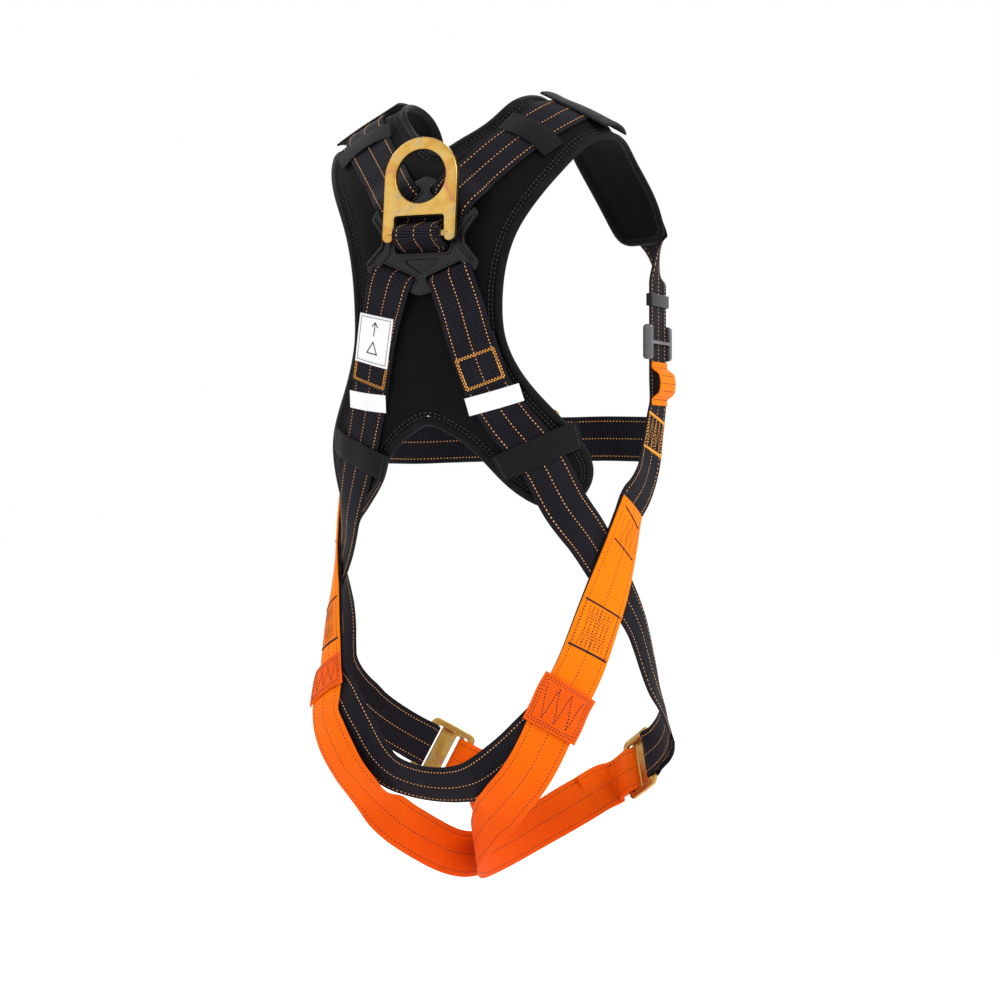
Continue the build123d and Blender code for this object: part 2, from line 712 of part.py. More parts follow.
hip_ends = {}
for label, side in SIDES:
    start = [plate_station(side, LOWER_SLOT, beyond, OVER_PLATE) for beyond in (1.2, 9)]
    strap(f"back_strap_{label}", start + worn_path(BACK_FOLD[label], side))
    waist = WAIST[label]
    whole = worn_path(waist + THIGH_TURN, side, (side,))
    hip_turn = len(worn_path(waist, side, (side,))) - 1
    strap(f"waist_strap_{label}", whole[:hip_turn + 1])
    buckle = buckle_plane(whole)
    looped_strap(f"thigh_strap_{label}", whole[hip_turn:], bar_axis(buckle))
    buckle_frame(f"leg_frame_{label}", buckle)
    buckle_tongue(f"leg_tongue_{label}", buckle)

    hip = worn_path(HIP[label], side, (side,))
    sash = flat_path(SASH + (facing_row(side, hip[0]),), side, 12)
    strap(f"sash_{label}", [run_station(side, RUN_BOTTOM - BUTT)] + sash[1:-1] + [hip[0]])
    strap(f"hip_strap_{label}", hip)
    hip_ends[label] = hip[-1]
    leg_rows = sub_route(HIP[label], ON_TWO_WEBS) + list(LOOP_DOWN[label])
    final = tongue_path(buckle)
    leg = worn_path(leg_rows + list(CROTCH) + [worn_row(side, final[0])], side, (side,))[:-1] + final
    under = len(worn_path(leg_rows, side, (side,))) - 1
    strap(f"leg_strap_{label}", leg[:under + 1])
    looped_strap(f"leg_strap_front_{label}", leg[under:], bar_axis(buckle, TONGUE_BACK, TONGUE_OUT))

    middle = HIP[label][-1]
    above = HIP[label][-2]
    below = LOOP_DOWN[label][0]
    patch = [tuple(np.array(middle) + t * (np.array(end) - np.array(middle)))[:3] + (ON_THREE_WEBS,)
             for end, t in ((above, 0.75), (middle, 0), (below, 0.5))]
    strap(f"hip_patch_{label}", worn_path(patch, side, (side,), PATCH_W), PATCH_W, PATCH_T)

seat = worn_path([(-x, y, z, h) for x, y, z, h in SEAT], RIGHT)
strap("seat_strap", [hip_ends["right"]] + seat[1:-1] + [turned_back(hip_ends["left"])])

# Chest strap: the left half ends at the frame, the right half at the tongue
left_chest = flat_path(CHEST_FROM_SASH, LEFT, 14)
buckle = buckle_plane(left_chest)
looped_strap("chest_strap_left", left_chest, bar_axis(buckle))
buckle_frame("chest_frame", buckle)
buckle_tongue("chest_tongue", buckle)
final = tongue_path(buckle)
right_chest = flat_path(CHEST_FROM_SASH[:-1] + (facing_row(RIGHT, final[0]),), RIGHT, 14)
looped_strap("chest_strap_right", right_chest[:-1] + final, bar_axis(buckle, TONGUE_BACK, TONGUE_OUT))

# Small pieces sewn on the webbing: keepers, flaps, tags and the marking label
ON_STRAP = ON_PAD + WEB_T + 0.7
SHOULDER_KEEPER = ((63, -43, 115, ON_PAD + 0.2), (70, -44, 110, ON_STRAP), (95, -44, 97, ON_STRAP),
                   (117, -40, 82, ON_STRAP), (124, -37, 76, ON_PAD + 0.2))
ON_FLAP = ON_STRAP + 1
SHOULDER_FLAP = ((70, -110, 134, ON_FLAP), (106, -110, 128, ON_FLAP), (142, -110, 104, ON_FLAP))
LOBE_KEEPER = {
    "right": ((68, -12, -214, ON_PAD + 0.2), (76, -14, -210, ON_STRAP), (101, -27, -197, ON_STRAP),
              (126, -44, -183, ON_STRAP), (134, -52, -179, ON_PAD + 0.2)),
    "left": ((51, -9, -212, ON_PAD + 0.2), (59, -11, -208, ON_STRAP), (84, -19, -197, ON_STRAP),
             (109, -32, -185, ON_STRAP), (117, -38, -181, ON_PAD + 0.2)),
}
TAG_ENDS = {
    "right": ((45, 6, -156, ON_STRAP), (70, -2, -149, ON_STRAP), (94, -12, -141, ON_STRAP)),
    "left": ((42, 4, -151, ON_STRAP), (64, -3, -148, ON_STRAP), (86, -10, -144, ON_STRAP)),
}
for label, side in SIDES:
    strap(f"shoulder_keeper_{label}", worn_path(SHOULDER_KEEPER, side, width=BAND_W), BAND_W, BAND_T)
    strap(f"shoulder_flap_{label}", worn_path(SHOULDER_FLAP, side, width=FLAP_W), FLAP_W, FLAP_T)
    strap(f"lobe_keeper_{label}", worn_path(LOBE_KEEPER[label], side, width=LOBE_BAND_W), LOBE_BAND_W, BAND_T)
    strap(f"rip_tag_{label}", worn_path(TAG_ENDS[label], side, width=TAG_W), TAG_W, TAG_T)
LABEL = ((43, 8, -68, FOLD_HEIGHT + 2.8), (48, 7, -92, FOLD_HEIGHT + 2.6), (53, 5, -113, FOLD_HEIGHT + 2.6))
strap("marking_label", worn_path(LABEL, LEFT, width=LABEL_W), LABEL_W, LABEL_T)
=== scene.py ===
import math
import bpy
import numpy as np
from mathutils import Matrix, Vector
from mathutils.geometry import tessellate_polygon
from mathutils.kdtree import KDTree


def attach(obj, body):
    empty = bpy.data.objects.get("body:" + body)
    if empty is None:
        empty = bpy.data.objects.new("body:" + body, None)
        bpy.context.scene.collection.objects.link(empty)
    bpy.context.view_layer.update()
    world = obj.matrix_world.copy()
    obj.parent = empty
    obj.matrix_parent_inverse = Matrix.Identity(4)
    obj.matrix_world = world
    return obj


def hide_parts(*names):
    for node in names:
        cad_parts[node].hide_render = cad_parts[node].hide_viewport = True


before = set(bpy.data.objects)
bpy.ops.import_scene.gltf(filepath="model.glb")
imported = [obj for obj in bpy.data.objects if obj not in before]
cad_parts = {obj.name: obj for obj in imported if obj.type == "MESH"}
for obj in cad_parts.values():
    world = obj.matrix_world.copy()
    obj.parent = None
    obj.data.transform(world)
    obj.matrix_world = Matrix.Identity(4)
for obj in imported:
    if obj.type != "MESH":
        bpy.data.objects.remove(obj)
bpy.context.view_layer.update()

# ---------------------------------------------------------------- dimensions
# The row frame's millimetres, as in the CAD source; meshes are made in metres.
MM = 0.001
WEB_W = 45.0
WEB_T = 1.8
PAD_T = 8.0
GAP = 1.5
STATION_STEP = 18.0
DENSE_STEP = 3.0
ON_BODY = 1.0
ON_WEB = 4.2
ON_TWO_WEBS = 7.6
ON_THREE_WEBS = 11.0
ON_PAD = PAD_T + GAP
FOLD_HEIGHT = ON_PAD + 2.9
ON_STRAP = ON_PAD + WEB_T + 0.7
PLATE_TILT = math.radians(7.0)
PLATE_TURN = math.radians(3.0)
PLATE_T = 3.5
PLATE_BACK = 6.0
OVER_PLATE = PLATE_BACK + PLATE_T + 0.6
RUN_OUT, RUN_Y, RUN_FACE = 153.0, -190.0, 3.0
RUN_TOP, RUN_BOTTOM = -35.0, -150.0
ADJUSTER_Z, KEEPER_Z = -88.0, -47.0
LOOP_TOP, LOOP_BOTTOM = -107.0, -149.0
BUCKLE_T = 3.5
FRAME_W, FRAME_L, FRAME_RAIL = 62.0, 50.0, 6.5
TONGUE_W, TONGUE_L, TONGUE_BACK, TONGUE_OUT, TONGUE_HEEL = 56.0, 29.0, -31.0, 4.4, 1.3
BAR_R, BAR_PLAY = 3.0, 0.4
SLEEVE_R, SLEEVE_SINK = BAR_R + BAR_PLAY + WEB_T, 0.3
# The sewn lap behind a bar: how far back it starts, lies flat and ends, and its gap to the strap
LAP_START, LAP_EASE, LAP_END, LAP_GAP, LAP_STEP = 9.0, 20.0, 52.0, 0.25, 2.4
EDGE_BEND = (-9, 4)
TRACERS = (-17.5, 0.0, 17.5)
THREAD_W, THREAD_H = 0.95, 0.42
STITCH_TAPER, STITCH_SUNK, TIP_SUNK = 0.22, 0.25, 0.1
PAD_SEAM, PAD_RIM, BORDER_STEP = 3.4, 4.6, 4.0
SIDES = (("right", -1), ("left", 1))

# Torso: height, half width, half depth, centre y, squareness in front
TORSO = np.array((
    (-552, 24, 20, -129, 2.0), (-540, 90, 66, -129, 2.0), (-520, 150, 108, -129, 2.0),
    (-500, 172, 124, -128, 2.0), (-435, 174, 122, -127, 2.0), (-375, 164, 112, -128, 2.1),
    (-300, 151, 104, -128, 2.2), (-241, 149, 104, -125, 2.5), (-166, 160, 109, -118, 3.0),
    (-107, 169, 112, -111, 3.0), (-50, 180, 111, -107, 3.0), (15, 194, 104, -107, 2.8),
    (60, 184, 90, -107, 2.4), (92, 156, 74, -107, 2.0), (118, 112, 58, -107, 2.0),
    (138, 70, 58, -107, 2.0), (165, 56, 58, -107, 2.0),
), float)
# Thighs: height, distance out, centre y, half width, half depth
THIGH = np.array((
    (-760, 85, -129, 70, 76), (-660, 87, -129, 76, 86), (-580, 88, -129, 81, 96),
    (-520, 88, -128, 83, 104), (-440, 86, -127, 82, 110),
), float)
HIP_BLEND = 22.0


# ---------------------------------------------------------------- the wearer's surface
def read_table(table, height):
    rows = table[:, 0]
    height = np.clip(height, rows[0], rows[-1])
    i = np.clip(np.searchsorted(rows, height) - 1, 0, len(rows) - 2)
    slope = np.gradient(table[:, 1:], rows, axis=0)
    span = (rows[i + 1] - rows[i])[:, None]
    t = (height - rows[i])[:, None] / span
    start = (2 * t**3 - 3 * t**2 + 1) * table[i, 1:] + (t**3 - 2 * t**2 + t) * span * slope[i]
    end = (3 * t**2 - 2 * t**3) * table[i + 1, 1:] + (t**3 - t**2) * span * slope[i + 1]
    return start + end


def oval_gap(x, y, half_w, half_d, power):
    reach = np.hypot(x, y) + 1e-9
    return reach - (np.abs(x / reach / half_w)**power + np.abs(y / reach / half_d)**power) ** (-1 / power)


def wearer_gap(points, legs):
    x, y, z = points.T
    half_w, half_d, centre, square = read_table(TORSO, z).T
    power = np.where(y < centre, square, 2.0)
    gap = oval_gap(x, y - centre, half_w, half_d, power) + 1.5 * np.maximum(TORSO[0, 0] - z, 0)
    out, centre, half_w, half_d = read_table(THIGH, z).T
    for leg in legs:
        thigh = oval_gap(x - leg * out, y - centre, half_w, half_d, 2.0)
        thigh = thigh + np.maximum(z - THIGH[-1, 0], 0)
        mix = np.clip(0.5 + 0.5 * (thigh - gap) / HIP_BLEND, 0, 1)
        gap = thigh * (1 - mix) + gap * mix - HIP_BLEND * mix * (1 - mix)
    return gap


def wearer_slope(points, legs):
    steps = np.eye(3) * 0.5
    return np.stack([wearer_gap(points + s, legs) - wearer_gap(points - s, legs) for s in steps], 1)


def on_wearer(points, legs=(-1, 1)):
    points = np.array(points, float)
    for _ in range(12):
        slope = wearer_slope(points, legs)
        size = np.maximum((slope**2).sum(1), 1e-6)
        points = points - (wearer_gap(points, legs) / size)[:, None] * slope
    return points, unit(wearer_slope(points, legs))


def unit(vectors):
    return vectors / np.maximum(np.linalg.norm(vectors, axis=-1, keepdims=True), 1e-9)


def chord(points):
    return np.r_[0, np.cumsum(np.linalg.norm(np.diff(points, axis=0), axis=1))]


def through(rows, step=STATION_STEP):
    rows = np.array(rows, float)
    length = chord(rows[:, :3])
    count = max(2, round(length[-1] / step) + 1)
    return read_table(np.column_stack([length, rows]), np.linspace(0, length[-1], count))


def frames(centres, normals):
    along = unit(np.gradient(centres, axis=0))
    across = unit(np.cross(normals, along))
    return along, across, np.cross(along, across)


def stations(centres, along, across):
    """Stations whose edges don't bend, from their centres and directions."""
    flat = np.zeros(len(centres))
    return list(zip(centres, along, across, flat, flat))


def framed(centres, normals):
    """Stations through points whose outward directions are given, or the one they share."""
    along, across, _ = frames(centres, np.broadcast_to(normals, centres.shape))
    return stations(centres, along, across)


def worn_path(route, side, legs=(-1, 1), width=WEB_W, step=STATION_STEP):
    """Stations along a route that lies over the wearer. Its rows are out, y, z and height."""
    rows = through([(side * out, y, z, height) for out, y, z, height in route], step)
    base, normals = on_wearer(rows[:, :3], legs)
    lift = rows[:, 3:]
    centres = base + lift * normals
    along, across, outward = frames(centres, normals)
    edges = []
    for half in (-width / 2, width / 2):
        foot, up = on_wearer(base + half * across, legs)
        edges.append(np.clip(((foot + lift * up - centres) * outward).sum(1), *EDGE_BEND))
    return list(zip(centres, along, across, *edges))


def flat_path(route, side, step=STATION_STEP):
    """Stations along a route that hangs free. Its rows are out, y, z and the facing in degrees."""
    rows = through([(side * out, y, z, face) for out, y, z, face in route], step)
    face = np.radians(rows[:, 3])
    return framed(rows[:, :3], np.column_stack([side * np.cos(face), -np.sin(face), 0 * face]))


# ---------------------------------------------------------------- planes
class Place:
    """An origin with x, y and z directions, all in the row frame's millimetres."""

    def __init__(self, origin, x, z):
        self.origin = np.array(origin, float)
        self.z = unit(np.array(z, float))
        self.x = unit(np.array(x, float) - np.dot(x, self.z) * self.z)
        self.y = np.cross(self.z, self.x)

    def at(self, points):
        points = np.atleast_2d(np.array(points, float))
        return self.origin + points[:, :1] * self.x + points[:, 1:2] * self.y + points[:, 2:3] * self.z

    def way(self, vector):
        return vector[0] * self.x + vector[1] * self.y + vector[2] * self.z


def leaned(vector, angle):
    """A direction turned about the level axis across the wearer."""
    x, y, z = vector
    cos, sin = math.cos(angle), math.sin(angle)
    return np.array((x, y * cos - z * sin, y * sin + z * cos))


# The plate leans on the back and is turned a little to the wearer's right; the ring leans on the plate
plate_x = (-math.cos(PLATE_TURN), -math.sin(PLATE_TURN), 0)
facing = np.array((-math.sin(PLATE_TURN), math.cos(PLATE_TURN), 0)) * math.cos(PLATE_TILT)
PLATE = Place((-6, PAD_T, 0), plate_x, facing + (0, 0, math.sin(PLATE_TILT)))
RING_LEAN = math.radians(-1.0)
RING = Place(PLATE.at((0, 3, 18.5))[0], leaned(PLATE.x, RING_LEAN), leaned(PLATE.z, RING_LEAN))
# Each slot's distance out, height and turn in degrees
UPPER_SLOT = (25, 34, -37)
LOWER_SLOT = (28, -31, 22)


def plate_station(side, slot, beyond, height):
    out, up, turn = slot
    away = 1 if up > 0 else -1
    turn = math.radians(turn)
    ahead = np.array((side * away * math.sin(turn), away * math.cos(turn), 0))
    spot = PLATE.at(np.array((-side * out, up, height)) + beyond * ahead)[0]
    along = PLATE.way(ahead)
    return spot, along, np.cross(PLATE.z, along), 0.0, 0.0


def run_place(side, height):
    """A place on the straight run: x level along the strap's width, y up, z outward."""
    face = math.radians(RUN_FACE)
    outward = np.array((side * math.cos(face), -math.sin(face), 0))
    return Place((side * RUN_OUT, RUN_Y, height), np.cross((0, 0, 1), outward), outward)


def run_station(side, height):
    place = run_place(side, height)
    return place.origin, -place.y, np.cross(place.z, -place.y), 0.0, 0.0


def facing_row(side, station):
    centre, along, across, _, _ = station
    outward = np.cross(along, across)
    return side * centre[0], centre[1], centre[2], math.degrees(math.atan2(-outward[1], side * outward[0]))


def worn_row(side, station):
    spot = np.array(station[0])[None]
    foot, normal = on_wearer(spot, (side,))
    return side * spot[0, 0], spot[0, 1], spot[0, 2], float(((spot - foot) * normal).sum())


# ---------------------------------------------------------------- ribbons
class Ribbon:
    """A strap's dense stations, which answer where a point across and along it lies."""

    def __init__(self, path, width=WEB_W, thickness=WEB_T, step=DENSE_STEP):
        centre = np.array([s[0] for s in path])
        across = np.array([s[2] for s in path])
        edge = np.array([s[3:5] for s in path], float)
        outward = np.array([np.cross(s[1], s[2]) for s in path])
        widths = np.broadcast_to(np.array(width, float), len(path))
        length = chord(centre)
        keep = np.r_[True, np.diff(length) > 0.05]
        table = np.column_stack([length, centre, across, edge, widths, outward])[keep]
        count = max(3, round(length[-1] / step) + 1)
        self.s = np.linspace(0, length[-1], count)
        dense = read_table(table, self.s)
        self.centre = dense[:, :3]
        self.across = unit(dense[:, 3:6])
        self.edge = dense[:, 6:8]
        self.half = dense[:, 8] / 2
        guide = dense[:, 9:12]
        along = unit(np.gradient(self.centre, axis=0))
        self.across = unit(self.across - (self.across * along).sum(1)[:, None] * along)
        outward = np.cross(along, self.across)
        flip = np.sign((outward * guide).sum(1))[:, None]
        self.outward = outward * np.where(flip == 0, 1, flip)
        self.along = along
        self.thickness = thickness
        self.length = self.s[-1]

    def point(self, a, s, face=1, lift=0.0):
        """The points across a and along s, on the outer face or the inner one."""
        s = np.clip(np.asarray(s, float), 0, self.length)
        a = np.asarray(a, float)

        def read(values):
            return np.stack([np.interp(s, self.s, values[:, k]) for k in range(values.shape[1])], -1)

        half = np.interp(s, self.s, self.half)
        low, high = read(self.edge).T
        t = a / half
        rise = (low + high) / 2 * t**2 + (high - low) / 2 * t
        slope = ((low + high) * t + (high - low) / 2) / half
        outward = unit(read(self.outward))
        across = unit(read(self.across))
        off = rise + (self.thickness + lift if face > 0 else -lift)
        spot = read(self.centre) + a[..., None] * across + off[..., None] * outward
        normal = unit(outward - slope[..., None] * across)
        return spot, normal * (1 if face > 0 else -1)

    def at_height(self, z):
        """How far along the strap its middle passes a height, the first time."""
        d = self.centre[:, 2] - z
        cross = np.nonzero(np.sign(d[:-1]) != np.sign(d[1:]))[0]
        i = cross[0] if len(cross) else int(np.argmin(np.abs(d)))
        return float(self.s[i])


def make_mesh(name, verts, faces, uvs=None, smooth=True):
    """An object from points in millimetres. uvs has one pair for each face corner."""
    mesh = bpy.data.meshes.new(name)
    mesh.from_pydata((np.asarray(verts) * MM).tolist(), [], [tuple(int(i) for i in f) for f in faces])
    if uvs is not None:
        layer = mesh.uv_layers.new(name="UVMap")
        layer.data.foreach_set("uv", np.asarray(uvs, np.float32).ravel())
    mesh.polygons.foreach_set("use_smooth", [smooth] * len(mesh.polygons))
    mesh.validate()
    mesh.update()
    obj = bpy.data.objects.new(name, mesh)
    bpy.context.scene.collection.objects.link(obj)
    return obj


def finish_piece(obj, material, body="webbing", nodes=()):
    obj.data.materials.clear()
    obj.data.materials.append(material)
    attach(obj, body)
    if nodes:
        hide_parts(*nodes)
    return obj


def bands(grid):
    """Quads between the rows of a grid of points, where each row closes on itself."""
    a, b = grid[:-1], grid[1:]
    return np.stack([a, np.roll(a, -1, 1), np.roll(b, -1, 1), b], -1).reshape(-1, 4)


def ribbon_mesh(name, ribbon, columns=14):
    """A closed strap with round selvedges. Its UVs are across and along, in metres."""
    r = ribbon.thickness / 2
    ring, across_uv = [], []
    for face in (1, -1):
        for t in -face * np.linspace(-1, 1, columns):
            offset = t * (ribbon.half - r)
            ring.append(ribbon.point(offset, ribbon.s, face)[0])
            across_uv.append(offset)
        for angle in np.radians((-45, 0, 45)):
            reach = -face * (ribbon.half - r + r * math.cos(angle))
            ring.append(ribbon.point(reach, ribbon.s, 1, -r)[0] - face * math.sin(angle) * r * ribbon.outward)
            across_uv.append(reach)
    n, m = len(ribbon.s), len(ring)
    verts = np.array(ring).transpose(1, 0, 2).reshape(-1, 3)
    grid = np.arange(n * m).reshape(n, m)
    quads = bands(grid)
    uv = np.stack([np.array(across_uv).T, np.broadcast_to(ribbon.s[:, None], (n, m))], -1).reshape(-1, 2)
    caps = [grid[0][::-1], grid[-1]]
    corners = np.vstack([uv[quads].reshape(-1, 2), uv[caps[0]], uv[caps[1]]])
    return make_mesh(name, verts, [*quads, *caps], corners * MM)


def strap(name, ribbon, material, nodes, columns=14):
    return finish_piece(ribbon_mesh(name, ribbon, columns), material, nodes=nodes)


# ---------------------------------------------------------------- stitches
class Thread:
    """Stitches of one colour, gathered for one mesh."""

    def __init__(self):
        self.parts = []

    def add(self, start, end, normal, width=THREAD_W, height=THREAD_H):
        across = unit(np.cross(normal, unit(end - start)))
        rings = []
        for t in (STITCH_TAPER, 1 - STITCH_TAPER):
            mid = start + t * (end - start)
            rings += [mid - across * width / 2, mid + normal * height]
            rings += [mid + across * width / 2, mid - normal * STITCH_SUNK]
        self.parts.append(np.stack([start - normal * TIP_SUNK] + rings + [end - normal * TIP_SUNK], 1))

    def build(self, name, material):
        verts = np.concatenate(self.parts)
        tris = [(0, 2, 1), (0, 3, 2), (0, 4, 3), (0, 1, 4), (9, 5, 6), (9, 6, 7), (9, 7, 8), (9, 8, 5)]
        quads = [(1, 2, 6, 5), (2, 3, 7, 6), (3, 4, 8, 7), (4, 1, 5, 8)]
        base = np.arange(len(verts))[:, None, None] * verts.shape[1]
        faces = [f for shape in (tris, quads) for f in (np.array(shape) + base).reshape(-1, len(shape[0]))]
        return finish_piece(make_mesh(name, verts.reshape(-1, 3), faces), material)


def sew(thread, ribbon, corners, pitch=3.3, fill=0.66, face=1, lift=0.02, width=THREAD_W, height=THREAD_H):
    """Stitches on a ribbon along a line through corners, given as across and along."""
    corners = np.array(corners, float)
    for (a0, s0), (a1, s1) in zip(corners[:-1], corners[1:]):
        reach = math.hypot(a1 - a0, s1 - s0)
        count = max(1, round(reach / pitch))
        t = np.arange(count) / count
        t0 = t + (1 - fill) / 2 / count
        t1 = t0 + fill / count
        p0, n0 = ribbon.point(a0 + t0 * (a1 - a0), s0 + t0 * (s1 - s0), face, lift)
        p1, n1 = ribbon.point(a0 + t1 * (a1 - a0), s0 + t1 * (s1 - s0), face, lift)
        thread.add(p0, p1, unit(n0 + n1), width, height)


def tracers(thread, ribbon, faces=(1, -1)):
    """The lines of stitches that run the whole length of a strap."""
    end = ribbon.length - 2
    marks = np.linspace(2, end, max(2, round((end - 2) / 40)) + 1)
    for face in faces:
        for line in TRACERS:
            sew(thread, ribbon, [(line, s) for s in marks], 3.5, 0.62, face, 0.0, 0.85, 0.3)


def bar_tack(thread, ribbon, s, half, turn=0.0, tall=3.0, count=44):
    """A dense row of short stitches across a strap."""
    a = np.linspace(-half, half, count)
    slide = a * math.tan(math.radians(turn))
    p0, n0 = ribbon.point(a, s + slide - tall / 2, 1, 0.05)
    p1, _ = ribbon.point(a + 0.5, s + slide + tall / 2, 1, 0.05)
    thread.add(p0, p1, n0, 1.0, 0.75)


def box_lines(half, start, end):
    return [(-half, start), (half, start), (half, end), (-half, end), (-half, start)]


def w_lines(half, start, end, peaks=4):
    a = np.linspace(-half, half, 2 * peaks + 1)
    return [(x, start if i % 2 == 0 else end) for i, x in enumerate(a)]


# ---------------------------------------------------------------- solid plates and bars
def arc_loop(corners, radii, count=7):
    """A closed outline whose corners are rounded, anticlockwise as given."""
    corners = [np.array(c, float) for c in corners]
    radii = [radii] * len(corners) if np.isscalar(radii) else radii
    loop = []
    for i, corner in enumerate(corners):
        before = unit(corners[i - 1] - corner)
        after = unit(corners[(i + 1) % len(corners)] - corner)
        angle = math.acos(np.clip(np.dot(before, after), -1, 1))
        if radii[i] < 0.01 or angle > 3.1:
            loop.append(corner)
            continue
        reach = radii[i] / math.tan(angle / 2)
        centre = corner + unit(before + after) * radii[i] / math.sin(angle / 2)
        p0, p1 = corner + before * reach - centre, corner + after * reach - centre
        a0 = math.atan2(p0[1], p0[0])
        sweep = (math.atan2(p1[1], p1[0]) - a0 + math.pi) % (2 * math.pi) - math.pi
        for t in np.linspace(0, 1, count):
            a = a0 + t * sweep
            loop.append(centre + radii[i] * np.array((math.cos(a), math.sin(a))))
    return np.array(loop)


def circle_loop(centre, r, count=64):
    a = np.linspace(0, 2 * math.pi, count, endpoint=False)
    return np.column_stack([centre[0] + r * np.cos(a), centre[1] + r * np.sin(a)])


def rect(cx, cy, w, h):
    return [(cx + x * w / 2, cy + y * h / 2) for x, y in ((-1, -1), (1, -1), (1, 1), (-1, 1))]


def turned(points, angle, centre=(0, 0)):
    c, s = math.cos(math.radians(angle)), math.sin(math.radians(angle))
    return [(c * x - s * y + centre[0], s * x + c * y + centre[1]) for x, y in points]


def wound(loop, sign):
    x, y = loop.T
    area = (x * np.roll(y, -1) - np.roll(x, -1) * y).sum()
    return loop if area * sign > 0 else loop[::-1]


def slab(place, outer, holes, low, high, bevel=0.8, steps=4):
    """A plate with rounded edges between two heights of a place: its points and faces."""
    loops = [wound(np.array(outer), 1)] + [wound(np.array(h), -1) for h in holes]
    verts, faces, caps = [], [], []
    base = 0
    quarter = np.radians(np.linspace(0, 90, steps))
    profile = [(bevel * (1 - math.sin(q)), low + bevel * (1 - math.cos(q))) for q in quarter]
    profile += [(bevel * (1 - math.cos(q)), high - bevel * (1 - math.sin(q))) for q in quarter]
    for loop in loops:
        tangent = unit(np.roll(loop, -1, 0) - np.roll(loop, 1, 0))
        inward = np.column_stack([-tangent[:, 1], tangent[:, 0]])
        n = len(loop)
        for inset, height in profile:
            ring = loop + inset * inward
            verts.append(np.column_stack([ring, np.full(n, height)]))
        grid = base + np.arange(n * len(profile)).reshape(-1, n)
        faces += [tuple(q) for q in bands(grid)]
        caps.append((grid[0], grid[-1]))
        base += n * len(profile)
    verts = np.concatenate(verts)
    for which, flip in ((0, True), (1, False)):
        index = np.concatenate([c[which] for c in caps])
        rings = [[Vector((*verts[i][:2], 0)) for i in c[which]] for c in caps]
        for tri in tessellate_polygon(rings):
            a, b, c = (verts[index[i]][:2] for i in tri)
            turn = (b[0] - a[0]) * (c[1] - a[1]) - (b[1] - a[1]) * (c[0] - a[0])
            tri = tri if (turn > 0) != flip else tri[::-1]
            faces.append(tuple(index[i] for i in tri))
    return place.at(verts), faces


def rod(start, end, r, sides=20, dome=0.5):
    """A round bar with softened ends."""
    start, end = np.array(start, float), np.array(end, float)
    axis = unit(end - start)
    helper = np.array((0, 0, 1.0)) if abs(axis[2]) < 0.9 else np.array((1.0, 0, 0))
    u = unit(np.cross(axis, helper))
    v = np.cross(axis, u)
    a = np.linspace(0, 2 * math.pi, sides, endpoint=False)
    circle = np.cos(a)[:, None] * u + np.sin(a)[:, None] * v
    verts = np.concatenate([start + circle * (r - dome), start + axis * dome + circle * r,
                            end - axis * dome + circle * r, end + circle * (r - dome)])
    grid = np.arange(4 * sides).reshape(4, sides)
    return verts, [*bands(grid), grid[0][::-1], grid[-1]]


def crossbar(place, half, up, out, r, sides=20):
    """A round bar along a place's x direction."""
    start, end = place.at([(-half, up, out), (half, up, out)])
    return rod(start, end, r, sides)


def joined(name, parts, angle=40):
    verts, faces, base = [], [], 0
    for v, f in parts:
        verts.append(v)
        faces += [tuple(i + base for i in face) for face in f]
        base += len(v)
    obj = make_mesh(name, np.concatenate(verts), faces)
    obj.data.set_sharp_from_angle(angle=math.radians(angle))
    return obj


# ---------------------------------------------------------------- materials
class Wire:
    """A shader output that sums can be done with."""

    def __init__(self, tree, socket):
        self.tree = tree
        self.socket = socket

    def math(self, operation, other=None):
        made = self.tree.nodes.new("ShaderNodeMath")
        made.operation = operation
        self.tree.links.new(self.socket, made.inputs[0])
        if isinstance(other, Wire):
            self.tree.links.new(other.socket, made.inputs[1])
        elif other is not None:
            made.inputs[1].default_value = other
        return Wire(self.tree, made.outputs[0])

    def __add__(self, other):
        return self.math("ADD", other)

    def __mul__(self, other):
        return self.math("MULTIPLY", other)

    def wave(self, length):
        """The sine with this wavelength."""
        return (self * (2 * math.pi / length)).math("SINE")


